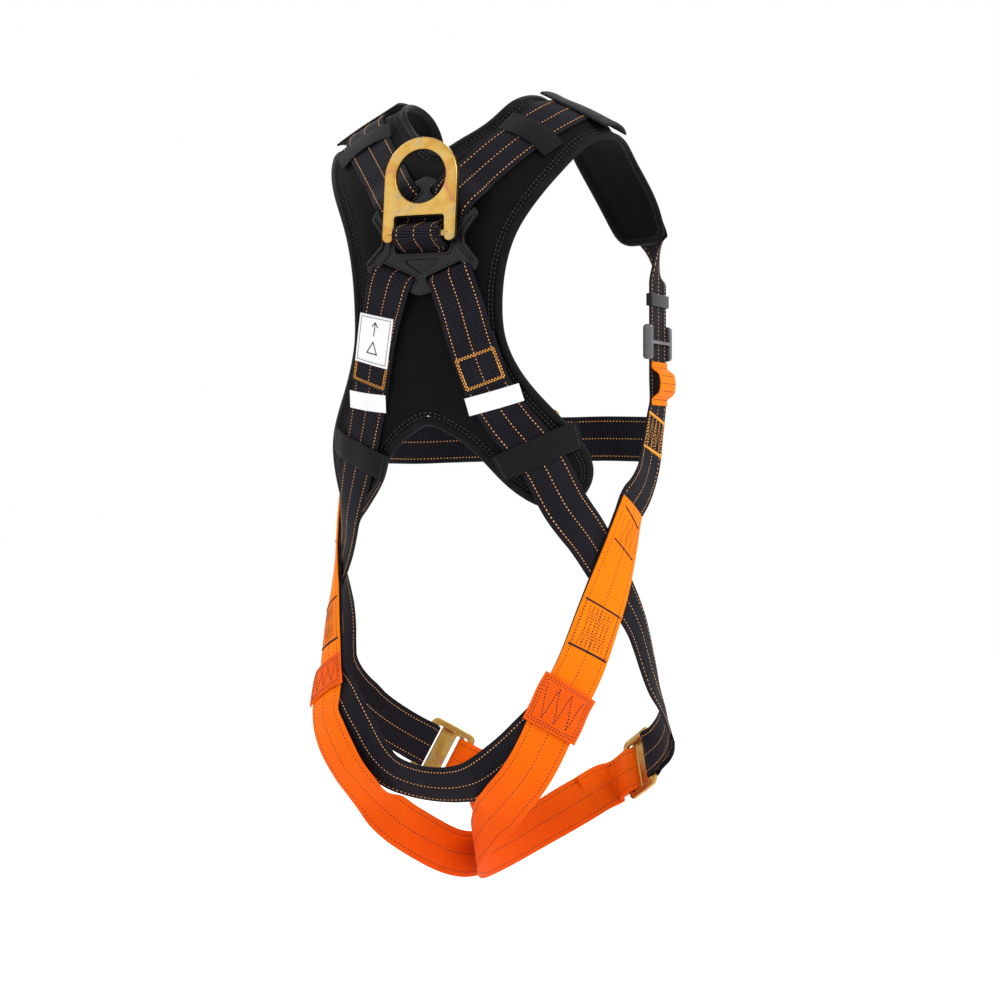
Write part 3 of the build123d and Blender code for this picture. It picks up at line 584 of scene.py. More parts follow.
class Look:
    """A material, with what is wired into its Principled shader."""

    def __init__(self, name, colour, rough, metallic=0.0, sheen=0.0, gloss=0.5):
        self.material = bpy.data.materials.new(name)
        self.material.use_nodes = True
        self.tree = self.material.node_tree
        self.inputs = self.tree.nodes["Principled BSDF"].inputs
        self.inputs["Base Color"].default_value = (*colour, 1)
        self.inputs["Roughness"].default_value = rough
        self.inputs["Metallic"].default_value = metallic
        self.inputs["Sheen Weight"].default_value = sheen
        self.inputs["Sheen Roughness"].default_value = 0.45
        self.inputs["Specular IOR Level"].default_value = gloss

    def node(self, kind, **values):
        made = self.tree.nodes.new(kind)
        for key, value in values.items():
            made.inputs[key].default_value = value
        return made

    def split(self, kind):
        """The x, y and z of a texture coordinate."""
        made = self.node("ShaderNodeSeparateXYZ")
        self.tree.links.new(self.node("ShaderNodeTexCoord").outputs[kind], made.inputs[0])
        return [Wire(self.tree, socket) for socket in made.outputs]

    def noise(self, scale, detail, rough=0.55, distortion=0.0):
        made = self.node("ShaderNodeTexNoise", Scale=scale, Detail=detail, Roughness=rough,
                         Distortion=distortion)
        self.tree.links.new(self.node("ShaderNodeTexCoord").outputs["Object"], made.inputs["Vector"])
        return Wire(self.tree, made.outputs["Fac"])

    def ramp(self, factor, stops):
        made = self.node("ShaderNodeValToRGB")
        elements = made.color_ramp.elements
        while len(elements) < len(stops):
            elements.new(0.5)
        for element, (position, colour) in zip(elements, stops):
            element.position = position
            element.color = (*colour, 1)
        self.tree.links.new(factor.socket, made.inputs["Fac"])
        return Wire(self.tree, made.outputs["Color"])

    def wire(self, key, wire):
        self.tree.links.new(wire.socket, self.inputs[key])

    def bump(self, height, strength, distance):
        made = self.node("ShaderNodeBump", Strength=strength, Distance=distance)
        self.tree.links.new(height.socket, made.inputs["Height"])
        self.wire("Normal", Wire(self.tree, made.outputs["Normal"]))


def webbing(name, dark, mid, light, rib, gloss, painted_shade=None, rough=0.62):
    """Woven webbing: ribs across and yarns along. The painted shade is two heights and the tint at the lower
    one, which darkens the colour towards the bottom.
    """
    look = Look(name, mid, rough, sheen=0.01, gloss=gloss)
    across, along, _ = look.split("UV")
    yarn = across.wave(0.0011)
    ribs = (along * (2 * math.pi / (rib * MM)) + yarn * 0.45).math("SINE") * 0.5 + 0.5
    weave = ribs * 0.8 + (yarn + 1.0) * 0.1
    cloud = look.noise(26.0, 3.0)
    # The weave also sets the colour: besides the yarn pattern and the random tone of the noise, rib crests are
    # painted lighter and the grooves darker, a painted highlight and painted shade.
    tone = weave * 0.62 + (cloud + look.noise(900.0, 2.0)) * 0.26
    colour = look.ramp(tone, ((0.12, dark), (0.5, mid), (0.95, light)))
    # Painted shade: the colour is multiplied by a tint that is full at and below the lower height and gone at
    # the higher one, so the straps darken and deepen towards the bottom.
    if painted_shade:
        low, high, shade_tint = painted_shade
        share = (look.split("Object")[2] + -low) * (1 / (high - low))
        mix = look.node("ShaderNodeMix")
        mix.data_type = "RGBA"
        mix.blend_type = "MULTIPLY"
        mix.inputs["Factor"].default_value = 1.0
        look.tree.links.new(colour.socket, mix.inputs["A"])
        look.tree.links.new(look.ramp(share, ((0, shade_tint), (1, (1, 1, 1)))).socket, mix.inputs["B"])
        colour = Wire(look.tree, mix.outputs["Result"])
    look.wire("Base Color", colour)
    look.wire("Roughness", cloud * 0.18 + (rough - 0.09))
    look.bump(weave, 0.55, 0.0003)
    return look.material


def cloth(name, dark, light, scale, rough, sheen, strength=0.35, depth=0.0003):
    """Pad cover, tape, label or thread: fine grain over a soft cloudy tone."""
    look = Look(name, dark, rough, sheen=sheen, gloss=0.06)
    fine = look.noise(scale, 3.0, 0.6)
    cloud = look.noise(40.0, 3.0)
    look.wire("Base Color", look.ramp(fine * 0.55 + cloud * 0.45, ((0.3, dark), (0.72, light))))
    look.wire("Roughness", cloud * 0.2 + (rough - 0.1))
    look.bump(fine, strength, depth)
    return look.material


def elastic(name, dark, light):
    """Ribbed elastic: fine cords that run along the band."""
    look = Look(name, dark, 0.6, sheen=0.02, gloss=0.08)
    across, along, _ = look.split("UV")
    height = across.wave(0.0016) * 0.35 + (along.wave(0.0011) * 0.15 + 0.5)
    look.wire("Base Color", look.ramp(height, ((0.1, dark), (0.9, light))))
    look.bump(height, 0.6, 0.0003)
    return look.material


def plated(name, stops, rough, scale):
    """Plated steel: mottled colour, duller patches and a fine grain."""
    look = Look(name, stops[0][1], rough, metallic=1.0)
    look.wire("Base Color", look.ramp(look.noise(scale, 5.0, 0.6, 0.8), stops))
    look.wire("Roughness", look.noise(160.0, 4.0) * 0.22 + (rough - 0.11))
    look.bump(look.noise(700.0, 2.0), 0.12, 0.0002)
    return look.material


def moulded(name, colour, light, rough):
    """Moulded plastic: spark-eroded grain and faint scuffs."""
    look = Look(name, colour, rough, gloss=0.2)
    cloud = look.noise(60.0, 5.0, 0.65)
    look.wire("Base Color", look.ramp(cloud, ((0.35, colour), (0.75, light))))
    look.wire("Roughness", cloud * 0.25 + (rough - 0.12))
    look.bump(look.noise(1500.0, 2.0), 0.25, 0.0002)
    return look.material


M_BLACK = webbing("webbing_black", (0.001, 0.001, 0.0015), (0.004, 0.0038, 0.006), (0.027, 0.025, 0.033),
                  2.0, 0.04)
# The orange webbing's colour carries a painted shade: deeper and darker below -0.36 m, fullest below -0.56 m.
M_ORANGE = webbing("webbing_orange", (0.50, 0.060, 0.0005), (0.82, 0.155, 0.001), (0.98, 0.25, 0.002),
                   1.8, 0.05, painted_shade=(-0.56, -0.36, (0.84, 0.40, 0.5)))
M_PATCH = webbing("patch_orange", (0.42, 0.030, 0.001), (0.68, 0.070, 0.002), (0.85, 0.13, 0.004), 2.0, 0.05)
M_PAD = cloth("pad_cover", (0.0015, 0.0015, 0.0017), (0.0048, 0.0046, 0.005), 2600.0, 0.72, 0.01)
M_BINDING = cloth("pad_binding", (0.002, 0.002, 0.0022), (0.009, 0.009, 0.0095), 1800.0, 0.55, 0.02, 0.5)
M_ELASTIC = elastic("elastic_black", (0.0015, 0.0015, 0.0018), (0.011, 0.011, 0.012))
M_FLAP = cloth("flap_fabric", (0.004, 0.004, 0.005), (0.022, 0.022, 0.026), 3000.0, 0.8, 0.08, 0.8, 0.0005)
M_LABEL = cloth("label_white", (0.66, 0.66, 0.68), (0.84, 0.84, 0.85), 1600.0, 0.55, 0.1, 0.15)
M_INK = cloth("label_ink", (0.02, 0.02, 0.022), (0.05, 0.05, 0.055), 1600.0, 0.5, 0.0, 0.1)
M_TRACER = cloth("thread_tracer", (0.62, 0.20, 0.03), (0.95, 0.52, 0.20), 420.0, 0.5, 0.2)
M_GOLD = cloth("thread_gold", (0.55, 0.2, 0.012), (0.92, 0.42, 0.05), 300.0, 0.5, 0.2)
M_DARK = cloth("thread_dark", (0.012, 0.01, 0.01), (0.05, 0.035, 0.03), 300.0, 0.55, 0.1)
M_GREY = cloth("thread_grey", (0.02, 0.02, 0.022), (0.06, 0.06, 0.065), 300.0, 0.55, 0.1)
ZINC = ((0.3, (0.44, 0.17, 0.10)), (0.43, (0.45, 0.25, 0.05)),
        (0.55, (0.50, 0.32, 0.09)), (0.7, (0.34, 0.26, 0.15)))
M_ZINC = plated("zinc_yellow", ZINC, 0.34, 42.0)
M_STEEL = plated("adjuster_steel", ((0.3, (0.10, 0.10, 0.105)), (0.7, (0.19, 0.19, 0.2))), 0.38, 60.0)
M_PLASTIC = moulded("black_plastic", (0.003, 0.0031, 0.0034), (0.009, 0.0093, 0.01), 0.28)

thread_tracer = Thread()
thread_gold = Thread()
thread_dark = Thread()
thread_grey = Thread()

# ---------------------------------------------------------------- webbing routes
SHOULDER = (
    (48, -8, 63, ON_PAD + 1), (62, -20, 78, ON_PAD), (80, -38, 96, ON_PAD), (98, -62, 113, ON_PAD),
    (106, -111, 128, ON_PAD), (107, -155, 112, ON_PAD), (115, -180, 82, ON_PAD), (130, -196, 45, ON_PAD),
    (139, -204, 22, ON_PAD + 2),
)
CHEST = ((146, -208, 4, 42), (152, -193, -15, 14), (RUN_OUT, RUN_Y, RUN_TOP, RUN_FACE))
BACK_FOLD = {
    "right": ((45, 10, -68, FOLD_HEIGHT + 1), (53, 6, -100, FOLD_HEIGHT), (65, 1, -137, FOLD_HEIGHT)),
    "left": ((38, 10, -66, FOLD_HEIGHT + 1), (49, 6, -100, FOLD_HEIGHT), (60, 1, -134, FOLD_HEIGHT)),
}
WAIST = {
    "right": ((51, 6, -92, ON_PAD), (66, 1, -140, ON_PAD), (84, -12, -172, ON_PAD), (101, -27, -197, ON_PAD),
              (124, -50, -250, ON_PAD), (135, -74, -277, 2.5), (146, -90, -304, ON_BODY)),
    "left": ((48, 6, -90, ON_PAD), (60, 1, -134, ON_PAD), (71, -8, -165, ON_PAD), (84, -19, -197, ON_PAD),
             (109, -40, -252, ON_PAD), (121, -58, -278, 4), (136, -80, -306, ON_BODY)),
}
THIGH_TURN = ((164, -124, -360, ON_BODY), (173, -142, -415, ON_BODY), (170, -185, -452, ON_BODY),
              (150, -219, -479, 1.5), (126, -236, -496, 2.5))
SASH = ((RUN_OUT, RUN_Y, RUN_BOTTOM, RUN_FACE), (152, -184, -174, 1), (151, -176, -203, -2),
        (153.5, -155, -226, 0))
HIP = {
    "right": ((153, -126, -247, ON_WEB), (153, -107, -284, ON_WEB), (144, -70, -355, ON_WEB),
              (134, -48, -402, ON_WEB), (124, -26, -436, ON_WEB)),
    "left": ((153, -126, -247, ON_WEB), (151, -103, -287, ON_WEB), (139, -70, -345, ON_WEB),
             (131, -50, -388, ON_WEB), (124, -37, -418, ON_WEB)),
}
SEAT = (
    (-124, -26, -436, ON_WEB), (-107, -17, -456, ON_WEB), (-80, -11, -482, ON_BODY), (-40, -11, -505, ON_BODY),
    (0, -8, -510, ON_BODY), (38, -8, -499, ON_BODY), (66, -8, -476, ON_BODY), (90, -12, -444, ON_WEB),
    (108, -24, -428, ON_WEB), (124, -37, -418, ON_WEB),
)
LOOP_DOWN = {
    "right": ((104, -17, -483, 10), (80, -16, -514, 11.5), (50, -20, -544, 12)),
    "left": ((110, -20, -458, 9), (87, -12, -491, 10), (50, -16, -540, 11)),
}
CROTCH = ((18, -46, -568, 8), (7, -98, -585, 2), (8, -150, -582, 1.5), (26, -196, -564, 1.5),
          (54, -226, -543, 2))
CHEST_FROM_SASH = ((147.5, -187, -181, 2), (145, -209, -181, 24), (133, -229, -181, 52), (108, -242, -180, 76),
                   (70, -247, -179, 86), (26, -248, -179, 90))
SHOULDER_KEEPER = ((63, -43, 115, ON_PAD + 0.2), (70, -44, 110, ON_STRAP), (95, -44, 97, ON_STRAP),
                   (107, -42, 89, ON_STRAP), (114, -40, 84, ON_PAD + 0.2))
SHOULDER_FLAP = ((70, -110, 134, ON_STRAP + 1), (106, -110, 128, ON_STRAP + 1), (142, -110, 104, ON_STRAP + 1))
LOBE_KEEPER = {
    "right": ((68, -12, -214, ON_PAD + 0.2), (76, -14, -210, ON_STRAP), (101, -27, -197, ON_STRAP),
              (126, -44, -183, ON_STRAP), (134, -52, -179, ON_PAD + 0.2)),
    "left": ((51, -9, -212, ON_PAD + 0.2), (59, -11, -208, ON_STRAP), (84, -19, -197, ON_STRAP),
             (109, -32, -185, ON_STRAP), (117, -38, -181, ON_PAD + 0.2)),
}
TAG_ENDS = {
    "right": ((45, 6, -156, ON_STRAP), (70, -2, -149, ON_STRAP), (94, -12, -141, ON_STRAP)),
    "left": ((42, 4, -151, ON_STRAP), (64, -3, -148, ON_STRAP), (86, -10, -144, ON_STRAP)),
}
LABEL = ((43, 8, -68, FOLD_HEIGHT + 2.8), (48, 7, -92, FOLD_HEIGHT + 2.6), (53, 5, -113, FOLD_HEIGHT + 2.6))
# A strap's way up through its slot: distance beyond the slot, and height over the pad
RISE = ((-20, 1.6), (-13, 1.8), (-7, 2.4), (-3.2, 4.3), (0, 7.9), (3, 10.7), (6, 11.0), (10, OVER_PLATE + 0.4))
# A strap's end under its buckle's frame: distance back, and out
UNDER_FRAME = ((-62, -4.3), (-53, -4.3), (-44, -4.3), (-38, -4.0),
               (TONGUE_BACK, TONGUE_OUT - SLEEVE_R + SLEEVE_SINK))


def buckle_place(path):
    centre, along, across, _, _ = path[-1]
    outward = np.cross(along, across)
    return Place(centre + (SLEEVE_R - SLEEVE_SINK) * outward, across, outward)


def tongue_path(place):
    return framed(place.at([(0, back, out) for back, out in UNDER_FRAME]), place.z)


def looped(path):
    """The path, then round a bar beyond its end, and back over itself for the sewn lap."""
    centre, along, across, _, _ = path[-1]
    outward = np.cross(along, across)
    bar = centre + (SLEEVE_R - SLEEVE_SINK) * outward
    made = list(path)
    for angle in np.radians(range(-60, 100, 20)):
        out = -math.sin(angle) * outward - math.cos(angle) * along
        made.append((bar - SLEEVE_R * out, np.cross(across, out), across, 0.0, 0.0))
    top = 2 * SLEEVE_R - SLEEVE_SINK
    travelled = 0.0
    last = centre
    for spot, way, cross, low, high in reversed(path[:-1]):
        travelled += np.linalg.norm(spot - last)
        last = spot
        if travelled < LAP_START:
            continue
        ease = min(1.0, travelled / LAP_EASE)
        ease = ease * ease * (3 - 2 * ease)
        height = top + (2 * WEB_T + LAP_GAP - top) * ease
        made.append((spot + height * np.cross(way, cross), -way, cross, low, high))
        if travelled > LAP_END:
            break
    return made


def slot_rise(side, slot):
    return [plate_station(side, slot, beyond, height) for beyond, height in RISE]


RUN_ROWS = (RUN_TOP + 4, RUN_TOP, RUN_TOP - 5, -60, -90, -120, RUN_BOTTOM)
upper, lower, legs_web, folds, buckles, hip_ends = {}, {}, {}, {}, {}, {}
for label, side in SIDES:
    shoulder = slot_rise(side, UPPER_SLOT) + worn_path(SHOULDER, side)
    chest_web = flat_path((facing_row(side, shoulder[-1]),) + CHEST, side, 16)
    hip = worn_path(HIP[label], side, (side,))
    sash = flat_path(SASH + (facing_row(side, hip[0]),), side, 12)
    run = [run_station(side, z) for z in RUN_ROWS]
    upper[label] = Ribbon(shoulder + chest_web[1:-1] + run + sash[1:-1] + hip)
    hip_ends[label] = hip[-1]

    folds[label] = Ribbon(slot_rise(side, LOWER_SLOT) + worn_path(BACK_FOLD[label], side))
    whole = worn_path(WAIST[label] + THIGH_TURN, side, (side,))
    buckles[label] = buckle_place(whole)
    lower[label] = Ribbon(looped(whole), step=LAP_STEP)
    final = tongue_path(buckles[label])
    leg_rows = [(out, y, z, ON_TWO_WEBS) for out, y, z, _ in HIP[label]]
    leg_rows += [*LOOP_DOWN[label], *CROTCH, worn_row(side, final[0])]
    leg = worn_path(leg_rows, side, (side,))[:-1] + final
    legs_web[label] = Ribbon(looped(leg), step=LAP_STEP)

seat = worn_path([(-x, y, z, height) for x, y, z, height in SEAT], -1)
centre, along, across, low, high = hip_ends["left"]
seat_web = Ribbon([hip_ends["right"]] + seat[1:-1] + [(centre, -along, -across, high, low)])

left_chest = flat_path(CHEST_FROM_SASH, 1, 14)
chest_buckle = buckle_place(left_chest)
final = tongue_path(chest_buckle)
right_chest = flat_path(CHEST_FROM_SASH[:-1] + (facing_row(-1, final[0]),), -1, 14)[:-1] + final
chest = {"left": Ribbon(looped(left_chest), step=LAP_STEP), "right": Ribbon(looped(right_chest), step=LAP_STEP)}

# ---------------------------------------------------------------- webbing pieces
UPPER_NODES = ("shoulder_strap", "chest_web", "straight_web", "sash", "hip_strap")
for label, _ in SIDES:
    for name, webs, nodes in (
        ("upper_webbing", upper, UPPER_NODES),
        ("lower_webbing", lower, ("waist_strap", "thigh_strap")),
        ("back_fold", folds, ("back_strap",)),
        ("leg_webbing", legs_web, ("leg_strap", "leg_strap_front")),
        ("chest_webbing", chest, ("chest_strap",)),
    ):
        orange = webs is legs_web
        look, slot = (M_ORANGE, "webbing_orange") if orange else (M_BLACK, "webbing_black")
        strap(f"{name}_{label}", webs[label], look, [f"{n}_{label}" for n in nodes])
        tracers(thread_dark if orange else thread_tracer, webs[label])
strap("seat_webbing", seat_web, M_BLACK, ["seat_strap"])
tracers(thread_tracer, seat_web)

# The two layers that wrap over the D-ring's bar: height on the plate, and distance out from it
WRAP = ((28, 1.9), (19, 1.9), (14.2, 5.6), (10.6, 12.5), (8.2, 18.5), (6.7, 22.2), (3, 23.7), (-0.7, 22.2),
        (-2.2, 18.5), (-4.0, 12.5), (-6.4, 5.4), (-10.5, 1.9), (-22, 1.9))
WRAP_UP, WRAP_OUT = 3.0, 12.0
for label, lean, shift, rise in (("right", -2.5, 1.8, 0.0), ("left", 3.0, -1.6, 2.3)):
    slant = math.tan(math.radians(lean))
    spots = []
    for up, out in WRAP:
        away = np.array((up - WRAP_UP, out - WRAP_OUT))
        spread = away / max(np.linalg.norm(away), 1) * rise
        raised = 0.85 * rise if out < 3 else max(spread[1], 0)
        spots.append((shift + slant * (up - WRAP_UP), up + spread[0], out + raised))
    centres = PLATE.at(spots)
    along = unit(np.gradient(centres, axis=0))
    across = unit(np.tile(PLATE.x + slant * PLATE.y, (len(centres), 1)))
    ribbon = Ribbon(stations(centres, along, across), step=1.2)
    strap(f"ring_webbing_{label}", ribbon, M_BLACK, [f"crossing_strap_{label}"])
    tracers(thread_tracer, ribbon, faces=(1,))

# ---------------------------------------------------------------- sewn joints
CHEST_JOINT, HIP_TACKS, LEG_JOINT = (-164, -196), (-258, -288), (-343, -383)
for label, _ in SIDES:
    fold = folds[label]
    for half, s0, s1 in ((19.5, 33, 3.5), (17.8, 31.5, 5)):
        box = box_lines(half, fold.length - s0, fold.length - s1)
        sew(thread_gold, fold, box, 2.9, 0.8, width=1.15, height=0.55)
    web = upper[label]
    s0, s1 = (web.at_height(z) for z in CHEST_JOINT)
    sew(thread_gold, web, w_lines(18, s0 + 2, s1 - 2), 2.7, 0.75)
    sew(thread_gold, web, box_lines(19.5, s0, s1), 2.7, 0.75)
    for s in (s0, s1):
        bar_tack(thread_gold, web, s, 20.5, tall=3.6)
    leg = legs_web[label]
    s0, s1 = (leg.at_height(z) for z in HIP_TACKS)
    for s in (s0, s1):
        bar_tack(thread_dark, leg, s, 15, 14, 1.6)
    sew(thread_dark, leg, w_lines(12, s0 + 4, s1 - 4, 3), 2.7, 0.55, width=0.7)
    s0, s1 = (leg.at_height(z) for z in LEG_JOINT)
    sew(thread_dark, leg, box_lines(18.5, s0, s1), 2.7, 0.62)
    sew(thread_dark, leg, w_lines(13, s0 + 3, s1 - 3, 3), 2.7, 0.6)
    sew(thread_dark, leg, w_lines(13, s1 - 3, s0 + 3, 3), 2.7, 0.6)
    bar_tack(thread_dark, leg, s0, 20, 3, 2.2)
    bar_tack(thread_dark, leg, s1, 20, 3, 2.8)
for webs, thread in ((lower, thread_gold), (chest, thread_gold), (legs_web, thread_dark)):
    for label, _ in SIDES:
        ribbon = webs[label]
        s0, s1 = ribbon.length - 30, ribbon.length - 4
        sew(thread, ribbon, box_lines(18.5, s0, s1), 2.8, 0.7, face=-1)
        sew(thread, ribbon, w_lines(16, s0 + 2, s1 - 2), 2.8, 0.7, face=-1)

# Square patches over the leg joints
PATCH_W = 54
for label, side in SIDES:
    ends = (HIP[label][-2], HIP[label][-1], LOOP_DOWN[label][0])
    above, middle, below = (np.array(row[:3], float) for row in ends)
    spots = (middle + 0.62 * (above - middle), middle, middle + 0.4 * (below - middle))
    rows = [(*spot, ON_THREE_WEBS) for spot in spots]
    patch = Ribbon(worn_path(rows, side, (side,), PATCH_W), PATCH_W, 1.6, 2.0)
    strap(f"leg_patch_{label}", patch, M_PATCH, [f"hip_patch_{label}"], 20)
    reach = PATCH_W / 2 - 3
    for inset in (0, 2.4):
        sew(thread_dark, patch, box_lines(reach - inset, 3 + inset, patch.length - 3 - inset), 2.8, 0.66)
    sew(thread_dark, patch, w_lines(reach - 5, 8, patch.length - 8, 3), 2.8, 0.7, width=1.2)


def worn_band(rows, side, width, thickness):
    return Ribbon(worn_path(rows, side, width=width), width, thickness, 2.0)


# Keepers, flaps, tags and the label
for label, side in SIDES:
    band = worn_band(SHOULDER_KEEPER, side, 24, 1.3)
    strap(f"shoulder_band_{label}", band, M_ELASTIC, [f"shoulder_keeper_{label}"])
    band = worn_band(LOBE_KEEPER[label], side, 26, 1.3)
    strap(f"lobe_band_{label}", band, M_ELASTIC, [f"lobe_keeper_{label}"])
    for s in (4, band.length - 4):
        sew(thread_grey, band, [(-11, s), (11, s)], 2.6, 0.7)
    flap = worn_band(SHOULDER_FLAP, side, 50, 2.4)
    strap(f"flap_{label}", flap, M_FLAP, [f"shoulder_flap_{label}"], 20)
    for inset in (0, 3):
        sew(thread_grey, flap, box_lines(22 - inset, 3 + inset, flap.length - 3 - inset), 2.8, 0.7)
    tag = worn_band(TAG_ENDS[label], side, 17, 0.5)
    strap(f"tag_{label}", tag, M_LABEL, [f"rip_tag_{label}"], 8)

INK_FACES = [(0, 1, 2, 3), (7, 6, 5, 4), (0, 4, 5, 1), (1, 5, 6, 2), (2, 6, 7, 3), (3, 7, 4, 0)]


def ink_line(ribbon, points, width):
    """A printed line on a label, as flat boxes a hair above it."""
    parts = []
    corners = np.array(points, float)
    for a, b in zip(corners[:-1], corners[1:]):
        reach = np.linalg.norm(b - a)
        marks = np.linspace(a, b, max(2, round(reach / 3) + 1))
        way = (b - a) / reach * width / 2
        beside = np.array((-way[1], way[0]))
        for start, end in zip(marks[:-1] - way, marks[1:] + way):
            strip = np.array([start + beside, start - beside, end - beside, end + beside]).T
            top, bottom = (ribbon.point(*strip, 1, lift)[0] for lift in (0.15, -0.1))
            parts.append((np.vstack([top, bottom]), INK_FACES))
    return parts


label_web = worn_band(LABEL, 1, 40, 0.5)
strap("label", label_web, M_LABEL, ["marking_label"], 10)
ink = ink_line(label_web, box_lines(17.5, 2.5, label_web.length - 2.5), 0.5)
ink += ink_line(label_web, [(0, 19), (0, 7)], 1.0)
ink += ink_line(label_web, [(-3.2, 10.5), (0, 6.5), (3.2, 10.5)], 1.0)
ink += ink_line(label_web, [(-6, 36), (0, 25), (6, 36), (-6, 36)], 1.1)
finish_piece(joined("label_print", ink), M_INK)

# ---------------------------------------------------------------- textile loops, keepers and adjusters
# Half a textile loop, from its sewn end: distance along and out
BOW = ((0, 0), (6, 0), (9, 3), (12, 7), (17, 8.4))
BOW_TOP = 8.8
ADJUSTER_HALF = WEB_W / 2 + 3.7
for label, side in SIDES:
    place = run_place(side, (LOOP_TOP + LOOP_BOTTOM) / 2)
    half = (LOOP_TOP - LOOP_BOTTOM) / 2
    foot = WEB_T + 0.3
    bow = [(along - half, foot + out) for along, out in BOW]
    bow += [(0, foot + BOW_TOP)] + [(-along, out) for along, out in bow[::-1]]
    loop = Ribbon(framed(place.at([(0, -up, out) for up, out in bow]), place.z), 41, 1.8, 1.4)
    strap(f"textile_loop_{label}", loop, M_ORANGE, [f"chest_loop_{label}"])
    for share in (0.14, 0.36, 0.5, 0.64, 0.86):
        sew(thread_dark, loop, [(-19, share * loop.length), (19, share * loop.length)], 2.8, 0.6)

    place = run_place(side, KEEPER_Z)
    outer = arc_loop(rect(0, WEB_T / 2, WEB_W + 4.4, WEB_T + 4.4), 1.6)
    hole = arc_loop(rect(0, WEB_T / 2, WEB_W + 2.4, WEB_T + 1.6), 0.6)
    obj = joined(f"keeper_{label}", [slab(Place(place.origin, place.x, -place.y), outer, [hole], -6, 6, 0.6)])
    finish_piece(obj, M_PLASTIC, f"web_keeper_{label}_body", [f"web_keeper_{label}"])

    place = run_place(side, ADJUSTER_Z)
    cheek = Place(place.origin, place.y, place.x)
    shape = arc_loop(rect(0, 0.9, 34, 9.6), 3.6)
    parts = [slab(cheek, shape, [], x - 2.5, x + 2.5, 1.1) for x in (-ADJUSTER_HALF, ADJUSTER_HALF)]
    bars = ((-13.5, -2.4), (0, 4.2), (13.5, -2.4))
    parts += [crossbar(place, ADJUSTER_HALF, up, out, 1.8) for up, out in bars]
    obj = joined(f"adjuster_buckle_{label}", parts)
    finish_piece(obj, M_STEEL, f"adjuster_{label}_body", [f"adjuster_{label}"])


# ---------------------------------------------------------------- mating buckles
def buckle_frame(name, place, node_name):
    middle = -FRAME_L / 2 + FRAME_RAIL
    outer = arc_loop(rect(0, middle, FRAME_W, FRAME_L), 7)
    hole = arc_loop(rect(0, middle, WEB_W + 4, FRAME_L - 2 * FRAME_RAIL), 3)
    parts = [slab(place, outer, [hole], -BUCKLE_T / 2, BUCKLE_T / 2, 0.9)]
    parts.append(crossbar(place, WEB_W / 2 + 3, 0, 0, BAR_R))
    finish_piece(joined(name, parts), M_ZINC, nodes=[node_name])


def buckle_tongue(name, place, body, node_name):
    rear, inner, front = TONGUE_BACK - TONGUE_HEEL, TONGUE_BACK + 6.6, TONGUE_BACK + TONGUE_L - 5
    w, gap = TONGUE_W / 2, WEB_W / 2 + 1
    corners = [(-w, rear), (-gap, rear), (-gap, inner), (gap, inner), (gap, rear), (w, rear),
               (w, front), (-w, front)]
    outer = arc_loop(corners, [1.4, 1.4, 2, 2, 1.4, 1.4, 5, 5])
    parts = [slab(place, outer, [], TONGUE_OUT - BUCKLE_T / 2, TONGUE_OUT + BUCKLE_T / 2, 0.8)]
    parts.append(crossbar(place, WEB_W / 2 + 1.5, TONGUE_BACK, TONGUE_OUT, BAR_R))
    finish_piece(joined(name, parts), M_ZINC, body, [node_name])


for label, _ in SIDES:
    place = buckles[label]
    buckle_frame(f"leg_buckle_frame_{label}", place, f"leg_frame_{label}")
    buckle_tongue(f"leg_buckle_tongue_{label}", place, f"leg_tongue_{label}_body", f"leg_tongue_{label}")
buckle_frame("chest_buckle_frame", chest_buckle, "chest_frame")
buckle_tongue("chest_buckle_tongue", chest_buckle, "chest_tongue_body", "chest_tongue")

# ---------------------------------------------------------------- D-ring
EYE_UP, ARCH_R, EYE_R, TIP = 54, 37, 25.5, -7.5
arch = [(ARCH_R * math.cos(a), EYE_UP + ARCH_R * math.sin(a)) for a in np.radians(np.linspace(0, 180, 49))]
ring_legs = arc_loop([(-ARCH_R, EYE_UP), (-ARCH_R, TIP), (-EYE_R, TIP), (-EYE_R, 17), (EYE_R, 17), (EYE_R, TIP),
                      (ARCH_R, TIP), (ARCH_R, EYE_UP)], [0, 5.6, 5.6, 3, 3, 5.6, 5.6, 0], 10)
eye = circle_loop((0, EYE_UP), EYE_R, 72)
parts = [slab(RING, np.vstack([arch[1:-1], ring_legs]), [eye], -3, 3, 1.3, 6)]
parts.append(crossbar(RING, 31, 0, 0, 3.5, 28))
finish_piece(joined("ring", parts, 50), M_ZINC, "d_ring_body", ["d_ring"])

# ---------------------------------------------------------------- dorsal plate
# The right half's corners from the top to the bottom: out, up and radius
EDGE = ((0, 60, 5.5), (12, 55, 4), (52, 27, 5), (55, 20, 5), (41, 8, 5), (41, -8, 5), (58, -22, 5),
        (55, -30, 5), (6, -52, 4), (0, -53, 5))
RIM = ((50.5, 25), (46, 16), (37.5, 8), (36, 0), (37.5, -9), (47, -19), (53.5, -25), (50, -29), (41, -24),
       (33.5, -14), (32, 0), (33.5, 13), (42, 21))
WING = ((52, 23), (45, 13), (40.5, 7), (40.0, 0), (40.5, -7), (49, -16), (56, -24), (57, -21), (49.5, -12.5),
        (43, -5), (42.2, 0), (43, 5), (47.5, 11.5), (54, 20))
PLATE_TOP = PLATE_BACK + PLATE_T


def slot_loop(slot, mirror, w, h, radius):
    out, up, turn = slot
    return arc_loop(turned(rect(0, 0, w, h), mirror * turn, (mirror * out, up)), radius)


